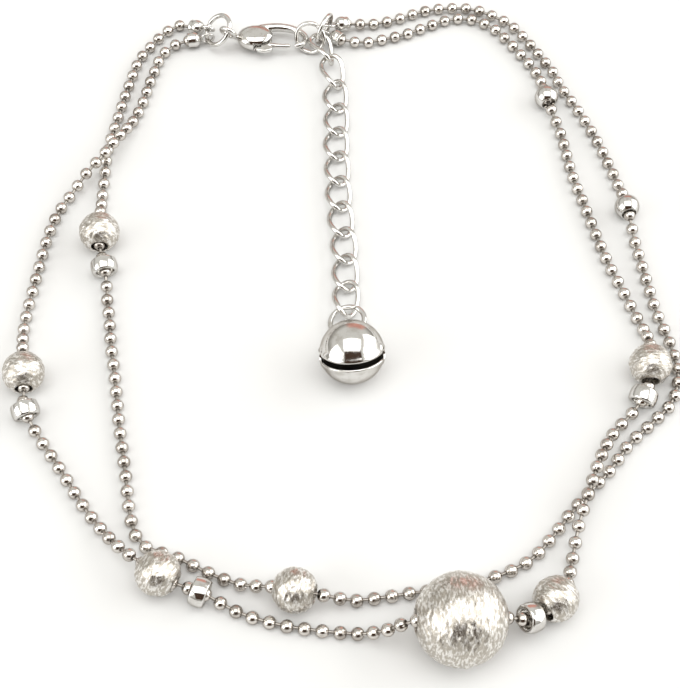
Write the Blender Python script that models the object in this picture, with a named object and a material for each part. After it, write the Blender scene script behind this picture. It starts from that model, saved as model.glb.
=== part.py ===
"""Ball chain anklet with frosted beads, a lobster clasp, a curb link extender and a round bell.

Frame: metres, +Z up. The loop lies on z = 0 with the origin at the middle of its base.
The clasp is at +Y, the extender hangs from it toward -Y and ends in the bell.
Lengths and points below are millimetres; MM turns them into metres where shapes are made.
"""
import math

import bmesh
import bpy
from mathutils import Matrix, Vector

MM = 0.001
FIT_GAP = 0.35

CHAIN_D = 1.5
STRAND_POINTS = 76

BEAD_D = 5.0
BIG_BEAD_D = 10.0
POLISHED_D = 3.1
BEAD_BORE = CHAIN_D + 2 * FIT_GAP + 0.6
BIG_BEAD_BORE = CHAIN_D + 2 * FIT_GAP + 1.0
POLISHED_BORE = CHAIN_D + 2 * FIT_GAP + 0.1

STOPPER_D = 3.3
STOPPER_LENGTH = 1.8
STOPPER_BORE = CHAIN_D + 2 * FIT_GAP + 0.35
STOPPER_RIM = 0.15

CUP_D = 2.1
CUP_REACH = 1.85
CUP_EYE_D = 1.7
CUP_EYE_WIRE = 0.4
CUP_END_GAP = 0.6

LINK_LENGTH = 5.2
LINK_WIDTH = 2.9
LINK_SADDLE = -0.58
LINK_WIRE = 0.6
LINK_LEVEL = 0.92

BELL_D = 7.76
BELL_WALL = 0.4
BELL_SLOT = 0.75
BELL_END_HOLE_D = 1.6
BELL_HOLE_FRONT = 0.9
BELL_EYE_D = 1.9
BELL_EYE_WIRE = 0.6
BELL_ROLL_DEG = -4.0

CLASP_THICK = 2.1
CLASP_RIM = 0.35
CLASP_BODY_LENGTH = 5.0
CLASP_BODY_WIDTH = 3.9
CLASP_WIRE = 0.8
CLASP_EYE_D = 2.0
CLASP_EYE_WIRE = 0.6
CLASP_CHEEK = 0.42
LEVER_GAP = 0.3
LEVER_THICK = CLASP_THICK - 2 * CLASP_CHEEK - 2 * LEVER_GAP
LEVER_BOSS_D = 2.1
PIN_D = 0.7

# Seats: centre of each bead and the way the chain runs through it.
SEAT_A = ((-30.3, 8.1, BEAD_D / 2), (0.08, -0.99, -0.06))
SEAT_B = ((-37.4, -12.8, BEAD_D / 2), (0.12, -0.99, -0.08))
SEAT_C = ((-20.0, -38.7, BEAD_D / 2), (0.84, -0.5, -0.16))
SEAT_D = ((-5.25, -40.7, BEAD_D / 2), (0.97, -0.2, 0.05))
SEAT_BIG = ((12.2, -45.2, BIG_BEAD_D / 2), (0.99, 0.07, -0.08))
SEAT_F = ((22.6, -41.7, BEAD_D / 2), (0.6, 0.79, -0.12))
SEAT_G = ((36.0, -11.7, BEAD_D / 2), (0.09, 0.985, 0.1))
SEAT_H1 = ((27.1, 31.7, POLISHED_D / 2), (-0.19, 0.98, 0.0))
SEAT_H2 = ((35.9, 12.9, POLISHED_D / 2), (-0.13, 0.99, 0.0))

# End cups: centre of the eye, the way from it to the cup, the eye's axis.
CUP_LEFT_OUTER = ((-18.61, 44.40, 1.67), (-0.849, 0.424, -0.316), (-0.215, -0.823, -0.526))
CUP_LEFT_INNER = ((-18.66, 43.08, 1.16), (-0.985, -0.175, -0.008), (0.173, -0.969, -0.178))
CUP_RIGHT_OUTER = ((-1.90, 44.98, 1.89), (0.93, 0.3, -0.26), (0.09, 0.48, 0.873))
CUP_RIGHT_INNER = ((-2.35, 44.35, 1.04), (0.806, -0.592, 0.028), (0.453, 0.646, 0.615))

# Rings: centre, axis, diameter of the wire's centre line, wire diameter.
RING_LEFT = ((-17.08, 43.25, 2.52), (-0.615, -0.266, 0.742), 4.2, 0.64)
RING_CLASP = ((-4.48, 42.24, 2.05), (-0.303, -0.818, 0.489), 4.0, 0.6)
RING_RIGHT = ((-2.57, 43.30, 2.73), (0.885, -0.438, -0.16), 4.0, 0.6)
RING_BELL = ((0.48, -4.7, 1.35), (-0.222, 0.006, 0.975), 4.2, 0.64)

# Two links hang from the right ring: centre, long axis, axis through the hole.
LINK_FIRST = ((-2.694, 40.397, 1.866), (0.378, -0.923, -0.064), (0.536, 0.162, 0.828))
LINK_SECOND = ((-1.36, 36.409, 1.467), (0.178, -0.973, -0.149), (0.332, -0.083, 0.939))
LINK_LAST = ((0.33, -1.15, 1.07), (-0.048, -0.996, 0.073), (0.217, 0.061, 0.974))
FLOOR_LINKS = 8

BELL_CENTRE = (1.0, -10.9, BELL_D / 2 + 0.02)
BELL_SLOT_WAY = (0.0, -0.88, 0.47)
BELL_EYE_CENTRE = (0.34, -6.79, 1.33)

# Clasp: pivot of the lever, then plan points from it, x toward the nose, y toward the back.
CLASP_PIVOT = (-10.9, 41.9, 1.55)
CLASP_BODY_AT = (-1.1, 0.8)
CLASP_HOOK = [
    (-1.3, 2.0), (-0.1, 2.6), (1.9, 2.85), (3.5, 2.6), (4.8, 2.0),
    (5.7, 1.1), (5.75, 0.3), (5.3, -0.35), (4.6, -0.65),
]
CLASP_LEVER = [(0.4, -0.25), (1.3, -0.6), (2.5, -0.75), (3.45, -0.7)]
CLASP_TAIL_EYE = ((-15.6, 41.98, 3.29), (0.417, 0.853, 0.314))

# Plan route of the extender between the second and the last link.
EXTENDER_ROUTE = [
    (-1.13, 36.60), (-1.0, 31.1), (-0.86, 26.8), (-0.93, 22.4), (-0.68, 18.3),
    (-0.55, 14.2), (-0.2, 10.1), (0.15, 6.2), (0.28, 2.3), (0.4, -1.35),
]


def through(seat, reach):
    """Three route points that take the chain straight through a seat."""
    centre = Vector(seat[0])
    way = Vector(seat[1]).normalized()
    return [tuple(centre - reach * way), tuple(centre), tuple(centre + reach * way)]


def beside(seat, aside, room):
    """Point beside a small bead: room past its surface, on the line that aside gives from its centre."""
    return tuple(Vector(seat[0]) + (BEAD_D / 2 + room) * Vector(aside).normalized())


def cup_end(cup):
    """Point just past an end cup, where its strand stops."""
    return tuple(Vector(cup[0]) + (CUP_REACH + CUP_D / 2 + CUP_END_GAP) * Vector(cup[1]).normalized())


# Stopper beside each of five beads: its centre and the way the chain runs through it.
STOP_A = (beside(SEAT_A, (0.9, -4.85, -0.75), 2.49), (0.24, -0.95, -0.2))
STOP_B = (beside(SEAT_B, (0.65, -4.8, -0.71), 2.40), (0.36, -0.88, -0.3))
STOP_C = (beside(SEAT_C, (4.55, -1.85, -0.78), 2.47), (0.93, -0.34, -0.14))
STOP_F = (beside(SEAT_F, (-2.9, -2.5, 0.7), 1.39), (0.84, 0.4, -0.36))
STOP_G = (beside(SEAT_G, (-1.15, -4.0, -0.74), 1.73), (0.42, 0.87, 0.24))

LOW = CHAIN_D / 2
BEAD_REACH = 0.45 * BEAD_D
BIG_REACH = 0.48 * BIG_BEAD_D
POLISHED_REACH = 0.4 * POLISHED_D
STOP_REACH = 0.4 * STOPPER_LENGTH

STRAND_OUTER = (
    [cup_end(CUP_LEFT_OUTER)]
    + [
        (-22.8, 45.9, LOW), (-24.6, 44.4, LOW), (-26.2, 42.1, LOW), (-27.8, 39.1, LOW),
        (-28.7, 35.1, LOW), (-29.4, 31.4, LOW), (-30.0, 27.7, LOW), (-30.6, 24.1, LOW),
        (-30.75, 21.5, LOW), (-30.75, 18.6, LOW), (-30.75, 15.3, LOW), (-30.6, 12.4, 1.6),
    ]
    + through(SEAT_A, BEAD_REACH) + through(STOP_A, STOP_REACH)
    + [
        (-29.0, 0.9, 0.95), (-28.75, -1.4, LOW), (-28.3, -3.9, LOW), (-27.8, -7.7, LOW),
        (-27.1, -11.5, LOW), (-26.5, -15.2, LOW), (-25.9, -19.1, LOW), (-25.2, -22.8, LOW),
        (-24.5, -26.6, LOW), (-23.9, -30.2, LOW), (-23.1, -33.0, LOW), (-22.0, -34.5, LOW),
        (-20.1, -35.35, LOW), (-18.0, -36.1, LOW), (-16.2, -37.05, LOW), (-13.5, -38.4, LOW),
        (-10.8, -39.4, 1.0),
    ]
    + through(SEAT_D, BEAD_REACH)
    + [
        (-0.7, -41.2, 1.6), (1.6, -41.1, LOW), (4.4, -40.7, LOW), (7.4, -40.2, LOW),
        (12.2, -39.5, LOW), (17.2, -38.0, LOW), (20.5, -36.2, LOW), (23.0, -33.5, LOW),
        (25.3, -30.5, LOW), (27.7, -27.7, LOW), (30.3, -24.9, LOW), (32.7, -21.6, LOW),
        (35.7, -18.7, LOW), (38.3, -15.9, LOW), (39.45, -12.6, LOW), (39.4, -9.6, LOW),
        (38.8, -6.4, LOW), (37.95, -2.9, LOW), (37.4, 0.9, LOW), (36.9, 4.6, LOW),
        (36.45, 8.2, LOW),
    ]
    + through(SEAT_H2, POLISHED_REACH)
    + [
        (35.2, 17.4, LOW), (34.2, 21.4, LOW), (33.2, 24.9, LOW), (31.9, 28.4, LOW),
        (30.5, 31.7, LOW), (29.3, 34.2, LOW), (28.5, 36.9, LOW), (27.2, 39.5, LOW),
        (25.6, 42.4, LOW), (23.4, 45.8, LOW), (20.7, 47.9, LOW), (17.6, 49.2, LOW),
        (13.7, 49.2, LOW), (10.75, 48.5, LOW), (7.5, 47.1, LOW), (4.4, 46.2, LOW),
    ]
    + [cup_end(CUP_RIGHT_OUTER)]
)

STRAND_INNER = (
    [cup_end(CUP_LEFT_INNER)]
    + [
        (-23.4, 41.8, 0.85), (-24.8, 39.9, LOW), (-25.5, 37.3, LOW), (-26.0, 35.2, LOW),
        (-26.75, 31.3, LOW), (-27.7, 28.0, 0.95), (-28.7, 25.2, 1.9), (-29.6, 23.0, 2.5),
        (-30.9, 20.6, 2.6), (-32.7, 18.4, 2.0), (-34.0, 16.6, 1.2), (-35.1, 14.7, 0.8),
        (-36.2, 12.3, LOW), (-37.0, 8.8, LOW), (-37.5, 5.05, LOW), (-37.9, 1.2, LOW),
        (-38.3, -2.6, LOW), (-38.4, -5.8, 0.95), (-38.1, -8.2, 1.8),
    ]
    + through(SEAT_B, BEAD_REACH) + through(STOP_B, STOP_REACH)
    + [
        (-35.4, -20.1, 0.95), (-33.9, -22.3, LOW), (-31.8, -25.4, LOW), (-29.7, -28.7, LOW),
        (-27.6, -31.6, 0.8), (-25.8, -33.9, 1.5), (-24.0, -35.9, 2.4),
    ]
    + through(SEAT_C, BEAD_REACH) + through(STOP_C, STOP_REACH)
    + [
        (-12.7, -41.8, 0.95), (-10.3, -42.9, LOW), (-6.4, -44.0, LOW), (-2.5, -44.6, LOW),
        (1.2, -45.0, 0.85), (4.3, -45.5, 2.8),
    ]
    + through(SEAT_BIG, BIG_REACH) + through(STOP_F, STOP_REACH) + through(SEAT_F, BEAD_REACH)
    + [
        (24.7, -37.4, 1.3), (25.3, -34.9, 1.2), (26.1, -31.9, 1.95), (27.1, -29.2, 2.55),
        (27.9, -27.0, 2.6), (28.8, -24.7, 2.35), (30.0, -22.1, 1.65), (31.4, -19.8, 1.05),
        (33.1, -18.0, 1.1),
    ]
    + through(STOP_G, STOP_REACH) + through(SEAT_G, BEAD_REACH)
    + [
        (36.2, -7.4, 1.9), (36.0, -5.4, 0.85), (35.1, -2.6, LOW), (34.1, 0.6, LOW),
        (33.0, 3.9, LOW), (32.0, 7.8, LOW), (31.2, 11.3, LOW), (30.4, 15.0, LOW),
        (29.6, 18.5, LOW), (29.1, 22.3, LOW), (28.6, 26.0, LOW), (27.8, 28.9, 1.2),
    ]
    + through(SEAT_H1, POLISHED_REACH)
    + [
        (26.75, 34.6, 1.05), (26.2, 36.8, LOW), (24.9, 39.3, LOW), (23.0, 42.4, LOW),
        (20.85, 45.3, LOW), (18.0, 47.05, LOW), (15.0, 47.1, LOW), (11.7, 45.7, LOW),
        (8.9, 44.3, LOW), (5.2, 43.1, LOW), (2.6, 42.5, 0.85),
    ]
    + [cup_end(CUP_RIGHT_INNER)]
)


def clear_scene():
    for item in list(bpy.data.objects):
        bpy.data.objects.remove(item, do_unlink=True)


def make_material(name, colour, roughness, metallic):
    material = bpy.data.materials.new(name)
    material.use_nodes = True
    shader = material.node_tree.nodes["Principled BSDF"]
    shader.inputs["Base Color"].default_value = (*colour, 1.0)
    shader.inputs["Roughness"].default_value = roughness
    shader.inputs["Metallic"].default_value = metallic
    return material


def axes_matrix(centre, long_axis, through_axis):
    """Placement with local X on long_axis and local Z on through_axis."""
    up = Vector(through_axis).normalized()
    along = Vector(long_axis)
    along = (along - up * along.dot(up)).normalized()
    across = up.cross(along)
    turn = Matrix((along, across, up)).transposed().to_4x4()
    return Matrix.Translation(Vector(centre) * MM) @ turn


def way_matrix(centre, way):
    """Placement with local Z on the given way."""
    way = Vector(way).normalized()
    helper = Vector((0, 0, 1)) if abs(way.z) < 0.9 else Vector((1, 0, 0))
    return axes_matrix(centre, helper.cross(way), way)


def add_object(name, data, placement, parent, material=None):
    item = bpy.data.objects.new(name, data)
    bpy.context.scene.collection.objects.link(item)
    item.parent = parent
    item.matrix_local = placement
    if material is not None:
        data.materials.append(material)
    return item


def new_mesh(name, rows, faces):
    mesh = bpy.data.meshes.new(name)
    mesh.from_pydata([tuple(Vector(row) * MM) for row in rows], [], faces)
    shape = bmesh.new()
    shape.from_mesh(mesh)
    bmesh.ops.recalc_face_normals(shape, faces=shape.faces)
    shape.to_mesh(mesh)
    shape.free()
    for polygon in mesh.polygons:
        polygon.use_smooth = True
    return mesh


def grid_faces(rings, sides, closed):
    """Quads between rings of points; closed joins the last ring to the first."""
    faces = []
    count = rings if closed else rings - 1
    for ring in range(count):
        following = (ring + 1) % rings
        for side in range(sides):
            other = (side + 1) % sides
            faces.append((
                ring * sides + side, ring * sides + other,
                following * sides + other, following * sides + side,
            ))
    return faces


def turned(name, profile, segments):
    """Solid of revolution about Z from a closed (radius, height) profile."""
    rows = []
    for step in range(segments):
        angle = 2 * math.pi * step / segments
        for radius, height in profile:
            rows.append((radius * math.cos(angle), radius * math.sin(angle), height))
    return new_mesh(name, rows, grid_faces(segments, len(profile), True))


def bored_ball(name, diameter, bore, segments, bands):
    """Ball with a straight bore along Z."""
    radius = diameter / 2
    start = math.asin(bore / diameter)
    profile = []
    for step in range(bands + 1):
        angle = start + (math.pi - 2 * start) * step / bands
        profile.append((radius * math.sin(angle), radius * math.cos(angle)))
    return turned(name, profile, segments)


def stopper_mesh(name):
    """Short tube with softened rims."""
    outer = STOPPER_D / 2
    inner = STOPPER_BORE / 2
    half = STOPPER_LENGTH / 2
    profile = [
        (inner, half), (outer - STOPPER_RIM, half), (outer, half - STOPPER_RIM),
        (outer, STOPPER_RIM - half), (outer - STOPPER_RIM, -half), (inner, -half),
    ]
    return turned(name, profile, 14)


def sweep(name, path, radii, sides, closed):
    """Round wire along a path that lies near the XY plane, with capped ends when open."""
    count = len(path)
    rows = []
    for index in range(count):
        if closed:
            tangent = path[(index + 1) % count] - path[index - 1]
        else:
            tangent = path[min(index + 1, count - 1)] - path[max(index - 1, 0)]
        tangent = tangent.normalized()
        side = tangent.cross(Vector((0, 0, 1))).normalized()
        up = side.cross(tangent)
        for step in range(sides):
            angle = 2 * math.pi * (step + 0.5) / sides
            rows.append(path[index] + radii[index] * (math.cos(angle) * side + math.sin(angle) * up))
    faces = grid_faces(count, sides, closed)
    if not closed:
        faces.append(tuple(range(sides)))
        faces.append(tuple(range((count - 1) * sides, count * sides)))
    return new_mesh(name, rows, faces)


def ring_mesh(name, centre_line_d, wire_d, segments, sides):
    path = []
    for step in range(segments):
        angle = 2 * math.pi * step / segments
        path.append(Vector((math.cos(angle), math.sin(angle), 0)) * centre_line_d / 2)
    return sweep(name, path, [wire_d / 2] * segments, sides, True)


def link_mesh(name):
    """Curb link: an oval whose ends twist, so that neighbours pass over and under."""
    path = []
    steps = 18
    for step in range(steps):
        angle = 2 * math.pi * step / steps
        path.append(Vector((
            LINK_LENGTH / 2 * math.cos(angle),
            LINK_WIDTH / 2 * math.sin(angle),
            LINK_SADDLE * math.sin(2 * angle),
        )))
    return sweep(name, path, [LINK_WIRE / 2] * steps, 5, True)


def rod_mesh(name, points, wire_d, sides):
    """Round rod through plan points, both ends rounded off."""
    curve = smooth_route([(x, y, 0) for x, y in points], 3 * len(points))
    first = (curve[0] - curve[1]).normalized()
    last = (curve[-1] - curve[-2]).normalized()
    radius = wire_d / 2
    path = [curve[0] + first * radius * 0.9] + curve + [curve[-1] + last * radius * 0.9]
    radii = [radius * 0.45] + [radius] * len(curve) + [radius * 0.45]
    return sweep(name, path, radii, sides, False)


def smooth_route(points, count):
    """Evenly spaced points on a smooth curve through the given points."""
    rows = [Vector(point) for point in points]
    rows = [2 * rows[0] - rows[1]] + rows + [2 * rows[-1] - rows[-2]]
    dense = []
    for index in range(1, len(rows) - 2):
        before, here, there, after = rows[index - 1:index + 3]
        for step in range(12):
            t = step / 12
            dense.append(0.5 * (
                2 * here + (there - before) * t
                + (2 * before - 5 * here + 4 * there - after) * t * t
                + (3 * here - 3 * there + after - before) * t * t * t
            ))
    dense.append(rows[-2])
    lengths = [0.0]
    for index in range(1, len(dense)):
        lengths.append(lengths[-1] + (dense[index] - dense[index - 1]).length)
    result = []
    place = 1
    for step in range(count):
        target = lengths[-1] * step / (count - 1)
        while place < len(dense) - 1 and lengths[place] < target:
            place += 1
        span = lengths[place] - lengths[place - 1]
        share = (target - lengths[place - 1]) / span
        result.append(dense[place - 1].lerp(dense[place], min(1.0, share)))
    return result


def strand(name, route, parent, material):
    """Ball chain strand as one tube; it never dips into the floor."""
    curve = bpy.data.curves.new(name, "CURVE")
    curve.dimensions = "3D"
    curve.bevel_depth = CHAIN_D / 2 * MM
    curve.bevel_resolution = 2
    curve.use_fill_caps = True
    spline = curve.splines.new("POLY")
    spline.points.add(STRAND_POINTS - 1)
    for point, place in zip(spline.points, smooth_route(route, STRAND_POINTS)):
        point.co = (place.x * MM, place.y * MM, max(place.z, CHAIN_D / 2) * MM, 1.0)
    return add_object(name, curve, Matrix.Identity(4), parent, material)


def ball_mesh(name, diameter, segments, bands):
    mesh = bpy.data.meshes.new(name)
    shape = bmesh.new()
    bmesh.ops.create_uvsphere(
        shape, u_segments=segments, v_segments=bands, radius=diameter / 2 * MM
    )
    shape.to_mesh(mesh)
    shape.free()
    for polygon in mesh.polygons:
        polygon.use_smooth = True
    return mesh


def box_mesh(name, low, high):
    rows = [(x, y, z) for x in (low[0], high[0]) for y in (low[1], high[1]) for z in (low[2], high[2])]
    faces = [(0, 1, 3, 2), (4, 6, 7, 5), (0, 4, 5, 1), (2, 3, 7, 6), (0, 2, 6, 4), (1, 5, 7, 3)]
    mesh = new_mesh(name, rows, faces)
    for polygon in mesh.polygons:
        polygon.use_smooth = False
    return mesh


def disc_mesh(name, diameter, thick, segments):
    """Cylinder about Z, centred."""
    rows = []
    for height in (-thick / 2, thick / 2):
        for step in range(segments):
            angle = 2 * math.pi * step / segments
            rows.append((diameter / 2 * math.cos(angle), diameter / 2 * math.sin(angle), height))
    faces = grid_faces(2, segments, False)
    faces.append(tuple(range(segments)))
    faces.append(tuple(range(segments, 2 * segments)))
    return new_mesh(name, rows, faces)


def egg_plate(name, length, width, thick, rim, segments):
    """Oval plate with chamfered rims."""
    rows = []
    for height, inset in (
        (-thick / 2, rim), (rim - thick / 2, 0.0), (thick / 2 - rim, 0.0), (thick / 2, rim)
    ):
        for step in range(segments):
            angle = 2 * math.pi * step / segments
            rows.append((
                (length / 2 - inset) * math.cos(angle), (width / 2 - inset) * math.sin(angle), height
            ))
    faces = grid_faces(4, segments, False)
    faces.append(tuple(range(segments)))
    faces.append(tuple(range(3 * segments, 4 * segments)))
    return new_mesh(name, rows, faces)


def combine(target, operand, operation):
    """Boolean step on target with a hidden operand."""
    operand.hide_render = True
    operand.display_type = "WIRE"
    step = target.modifiers.new(operand.name, "BOOLEAN")
    step.operation = operation
    step.solver = "EXACT"
    step.object = operand


def end_cup(name, cup, parent, material):
    centre, way, axis = cup
    placement = axes_matrix(centre, way, axis)
    eye = add_object(name, ring_mesh(name, CUP_EYE_D, CUP_EYE_WIRE, 16, 6), placement, parent, material)
    ball_place = placement @ Matrix.Translation((CUP_REACH * MM, 0, 0))
    ball = add_object(name + "_ball", ball_mesh(name + "_ball", CUP_D, 12, 8), ball_place, parent)
    combine(eye, ball, "UNION")


def bell(parent, material):
    """Hollow ball with a slot across its front half, a hole at each end of it and an eye at the back."""
    front = Vector(BELL_SLOT_WAY).normalized()
    placement = axes_matrix(BELL_CENTRE, (1, 0, 0), Vector((1, 0, 0)).cross(-front))
    placement = placement @ Matrix.Rotation(math.radians(BELL_ROLL_DEG), 4, "Y")
    shell = add_object("bell", ball_mesh("bell", BELL_D, 22, 12), placement, parent, material)
    hollow = ball_mesh("bell_hollow", BELL_D - 2 * BELL_WALL, 14, 8)
    hollow_item = add_object("bell_hollow", hollow, placement, parent)
    half = BELL_SLOT / 2
    slot = box_mesh("bell_slot", (-BELL_D, -BELL_D, -half), (BELL_D, 0, half))
    slot_item = add_object("bell_slot", slot, placement, parent)
    forward = Matrix.Translation((0, -BELL_HOLE_FRONT * MM, 0))
    across = placement @ forward @ Matrix.Rotation(math.radians(90), 4, "Y")
    ends = disc_mesh("bell_slot_ends", BELL_END_HOLE_D, 2 * BELL_D, 12)
    ends_item = add_object("bell_slot_ends", ends, across, parent)
    to_bell = Vector(BELL_CENTRE) - Vector(BELL_EYE_CENTRE)
    sideways = Vector((1, 0, 0))
    sideways = sideways - to_bell * to_bell.dot(sideways) / to_bell.length_squared
    eye_at = axes_matrix(BELL_EYE_CENTRE, to_bell, sideways)
    eye = ring_mesh("bell_eye", BELL_EYE_D, BELL_EYE_WIRE, 16, 6)
    eye_item = add_object("bell_eye", eye, eye_at, parent)
    combine(shell, eye_item, "UNION")
    combine(shell, hollow_item, "DIFFERENCE")
    combine(shell, slot_item, "DIFFERENCE")
    combine(shell, ends_item, "DIFFERENCE")


def clasp_body(parent, material):
    pivot = Matrix.Translation(Vector(CLASP_PIVOT) * MM)
    body_at = Matrix.Translation((CLASP_BODY_AT[0] * MM, CLASP_BODY_AT[1] * MM, 0))
    plate = egg_plate(
        "clasp_body", CLASP_BODY_LENGTH, CLASP_BODY_WIDTH, CLASP_THICK, CLASP_RIM, 18
    )
    body = add_object("clasp_body", plate, pivot @ body_at, parent, material)
    hook = rod_mesh("clasp_hook", CLASP_HOOK, CLASP_WIRE, 8)
    combine(body, add_object("clasp_hook", hook, pivot, parent), "UNION")
    eye_at = axes_matrix(CLASP_TAIL_EYE[0], (1, 0, -0.6), CLASP_TAIL_EYE[1])
    eye = ring_mesh("clasp_eye", CLASP_EYE_D, CLASP_EYE_WIRE, 16, 6)
    combine(body, add_object("clasp_eye", eye, eye_at, parent), "UNION")
    start = eye_at @ Vector((CLASP_EYE_D / 2 * MM, 0, 0))
    end = pivot @ body_at @ Vector((-0.36 * CLASP_BODY_LENGTH * MM, 0, 0))
    span = (end - start) / MM
    neck = rod_mesh("clasp_neck", [(0, 0), (span.length / 2, 0), (span.length, 0)], CLASP_WIRE, 8)
    neck_at = axes_matrix(start / MM, span, span.cross(Vector((0, 1, 0))))
    combine(body, add_object("clasp_neck", neck, neck_at, parent), "UNION")
    room = LEVER_THICK / 2 + LEVER_GAP
    reach = LEVER_BOSS_D / 2 + LEVER_GAP
    slot = box_mesh("clasp_slot", (-reach, -3 * reach, -room), (3.2 * reach, reach, room))
    combine(body, add_object("clasp_slot", slot, pivot, parent), "DIFFERENCE")
    pin = disc_mesh("clasp_pin", PIN_D, CLASP_THICK - CLASP_CHEEK, 10)
    combine(body, add_object("clasp_pin", pin, pivot, parent), "UNION")


def clasp_lever(parent, material):
    """Lever with its boss on the pivot and a thumb tab below."""
    pivot = Matrix.Translation(Vector(CLASP_PIVOT) * MM)
    boss = disc_mesh("clasp_lever", LEVER_BOSS_D, LEVER_THICK, 16)
    lever = add_object("clasp_lever", boss, pivot, parent, material)
    arm = rod_mesh("lever_arm", CLASP_LEVER, LEVER_THICK, 8)
    combine(lever, add_object("lever_arm", arm, pivot, parent), "UNION")
    tab = egg_plate("lever_tab", 2.3, 1.5, LEVER_THICK * 0.9, 0.15, 12)
    tab_at = pivot @ Matrix.Translation((0.15 * MM, -1.15 * MM, 0))
    combine(lever, add_object("lever_tab", tab, tab_at, parent), "UNION")
    hole = disc_mesh("lever_hole", PIN_D + 2 * LEVER_GAP, 3 * LEVER_THICK, 12)
    combine(lever, add_object("lever_hole", hole, pivot, parent), "DIFFERENCE")


def extender_links(parent, material):
    """Eleven links: two hang from the ring, eight lie between them and the last."""
    places = [LINK_FIRST, LINK_SECOND]
    route = smooth_route([(x, y, 0) for x, y in EXTENDER_ROUTE], FLOOR_LINKS + 2)
    for index in range(1, FLOOR_LINKS + 1):
        along = route[index + 1] - route[index - 1]
        centre = (route[index].x, route[index].y, LINK_LEVEL)
        places.append((centre, tuple(along), (0.0, 0.0, 1.0)))
    places.append(LINK_LAST)
    for index, (centre, along, up) in enumerate(places):
        name = "link_%02d" % (index + 1)
        add_object(name, link_mesh(name), axes_matrix(centre, along, up), parent, material)


def main():
    clear_scene()
    silver = make_material("silver", (0.88, 0.87, 0.85), 0.12, 1.0)
    frosted = make_material("frosted_silver", (0.86, 0.85, 0.83), 0.45, 1.0)
    root = bpy.data.objects.new("anklet", None)
    bpy.context.scene.collection.objects.link(root)

    strand("strand_outer", STRAND_OUTER, root, silver)
    strand("strand_inner", STRAND_INNER, root, silver)

    for letter, seat in (
        ("a", SEAT_A), ("b", SEAT_B), ("c", SEAT_C), ("d", SEAT_D), ("f", SEAT_F), ("g", SEAT_G)
    ):
        name = "bead_" + letter
        mesh = bored_ball(name, BEAD_D, BEAD_BORE, 16, 7)
        add_object(name, mesh, way_matrix(*seat), root, frosted)
    big = bored_ball("bead_big", BIG_BEAD_D, BIG_BEAD_BORE, 24, 10)
    add_object("bead_big", big, way_matrix(*SEAT_BIG), root, frosted)
    for name, seat in (("bead_h1", SEAT_H1), ("bead_h2", SEAT_H2)):
        mesh = bored_ball(name, POLISHED_D, POLISHED_BORE, 12, 5)
        add_object(name, mesh, way_matrix(*seat), root, silver)
    for letter, seat in (("a", STOP_A), ("b", STOP_B), ("c", STOP_C), ("f", STOP_F), ("g", STOP_G)):
        name = "stopper_" + letter
        add_object(name, stopper_mesh(name), way_matrix(*seat), root, silver)

    for name, cup in (
        ("cup_left_outer", CUP_LEFT_OUTER), ("cup_left_inner", CUP_LEFT_INNER),
        ("cup_right_outer", CUP_RIGHT_OUTER), ("cup_right_inner", CUP_RIGHT_INNER),
    ):
        end_cup(name, cup, root, silver)
    for name, ring in (
        ("ring_left", RING_LEFT), ("ring_clasp", RING_CLASP),
        ("ring_right", RING_RIGHT), ("ring_bell", RING_BELL),
    ):
        centre, axis, line_d, wire_d = ring
        mesh = ring_mesh(name, line_d, wire_d, 20, 6)
        add_object(name, mesh, way_matrix(centre, axis), root, silver)

    clasp_body(root, silver)
    clasp_lever(root, silver)
    extender_links(root, silver)
    bell(root, silver)


main()
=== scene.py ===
import math
import random

import bmesh
import bpy
import numpy as np
from bpy.props import FloatProperty, FloatVectorProperty, IntProperty, PointerProperty
from mathutils import Matrix, Vector


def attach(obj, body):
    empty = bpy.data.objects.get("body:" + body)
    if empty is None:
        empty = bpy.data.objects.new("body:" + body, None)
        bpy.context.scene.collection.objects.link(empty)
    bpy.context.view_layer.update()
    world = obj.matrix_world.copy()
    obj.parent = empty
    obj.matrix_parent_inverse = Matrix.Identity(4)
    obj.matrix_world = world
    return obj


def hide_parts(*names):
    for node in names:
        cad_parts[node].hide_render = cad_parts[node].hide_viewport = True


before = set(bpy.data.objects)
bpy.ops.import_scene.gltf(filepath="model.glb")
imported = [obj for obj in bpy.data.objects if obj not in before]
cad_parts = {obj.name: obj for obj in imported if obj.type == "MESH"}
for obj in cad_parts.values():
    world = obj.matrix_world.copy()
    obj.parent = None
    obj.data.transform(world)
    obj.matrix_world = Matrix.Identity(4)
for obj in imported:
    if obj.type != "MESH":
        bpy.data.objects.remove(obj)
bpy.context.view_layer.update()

bl_info = {
    "name": "Ball Chain Anklet",
    "version": (1, 0, 0),
    "blender": (4, 5, 0),
    "location": "3D View > Sidebar > Anklet",
    "description": "Makes the fine surfaces of a ball chain anklet over its packed model",
    "category": "Object",
}

# Places below are millimetres in the model's frame; MM turns them into metres.
MM = 0.001

CHAIN_D = 1.5
BEAD_D = 5.0
BIG_BEAD_D = 10.0
POLISHED_D = 3.1
STOPPER_LENGTH = 1.8
CUP_REACH = 1.85
CUP_EYE_D = 1.7
LINK_LENGTH = 5.2
LINK_WIDTH = 2.9
LINK_SADDLE = -0.58
LINK_LEVEL = 0.92
FLOOR_LINKS = 8
BELL_D = 7.76
BELL_EYE_D = 1.9
# From the end of a cup's reach to the first ball in its mouth.
CUP_BALL_AT = 0.72
# Radius at which a turned profile ends on its axis.
AXIS_R = 0.02
# Angles in degrees of the points that round off the end of a rod.
ROD_END_TURNS = (80, 60, 40, 20)
# Distance between the points of a flecked skin, and the turn from one small bead to the next.
SMALL_SPACING = 0.11
BIG_SPACING = 0.125
BEAD_TURN = 1.05

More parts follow.
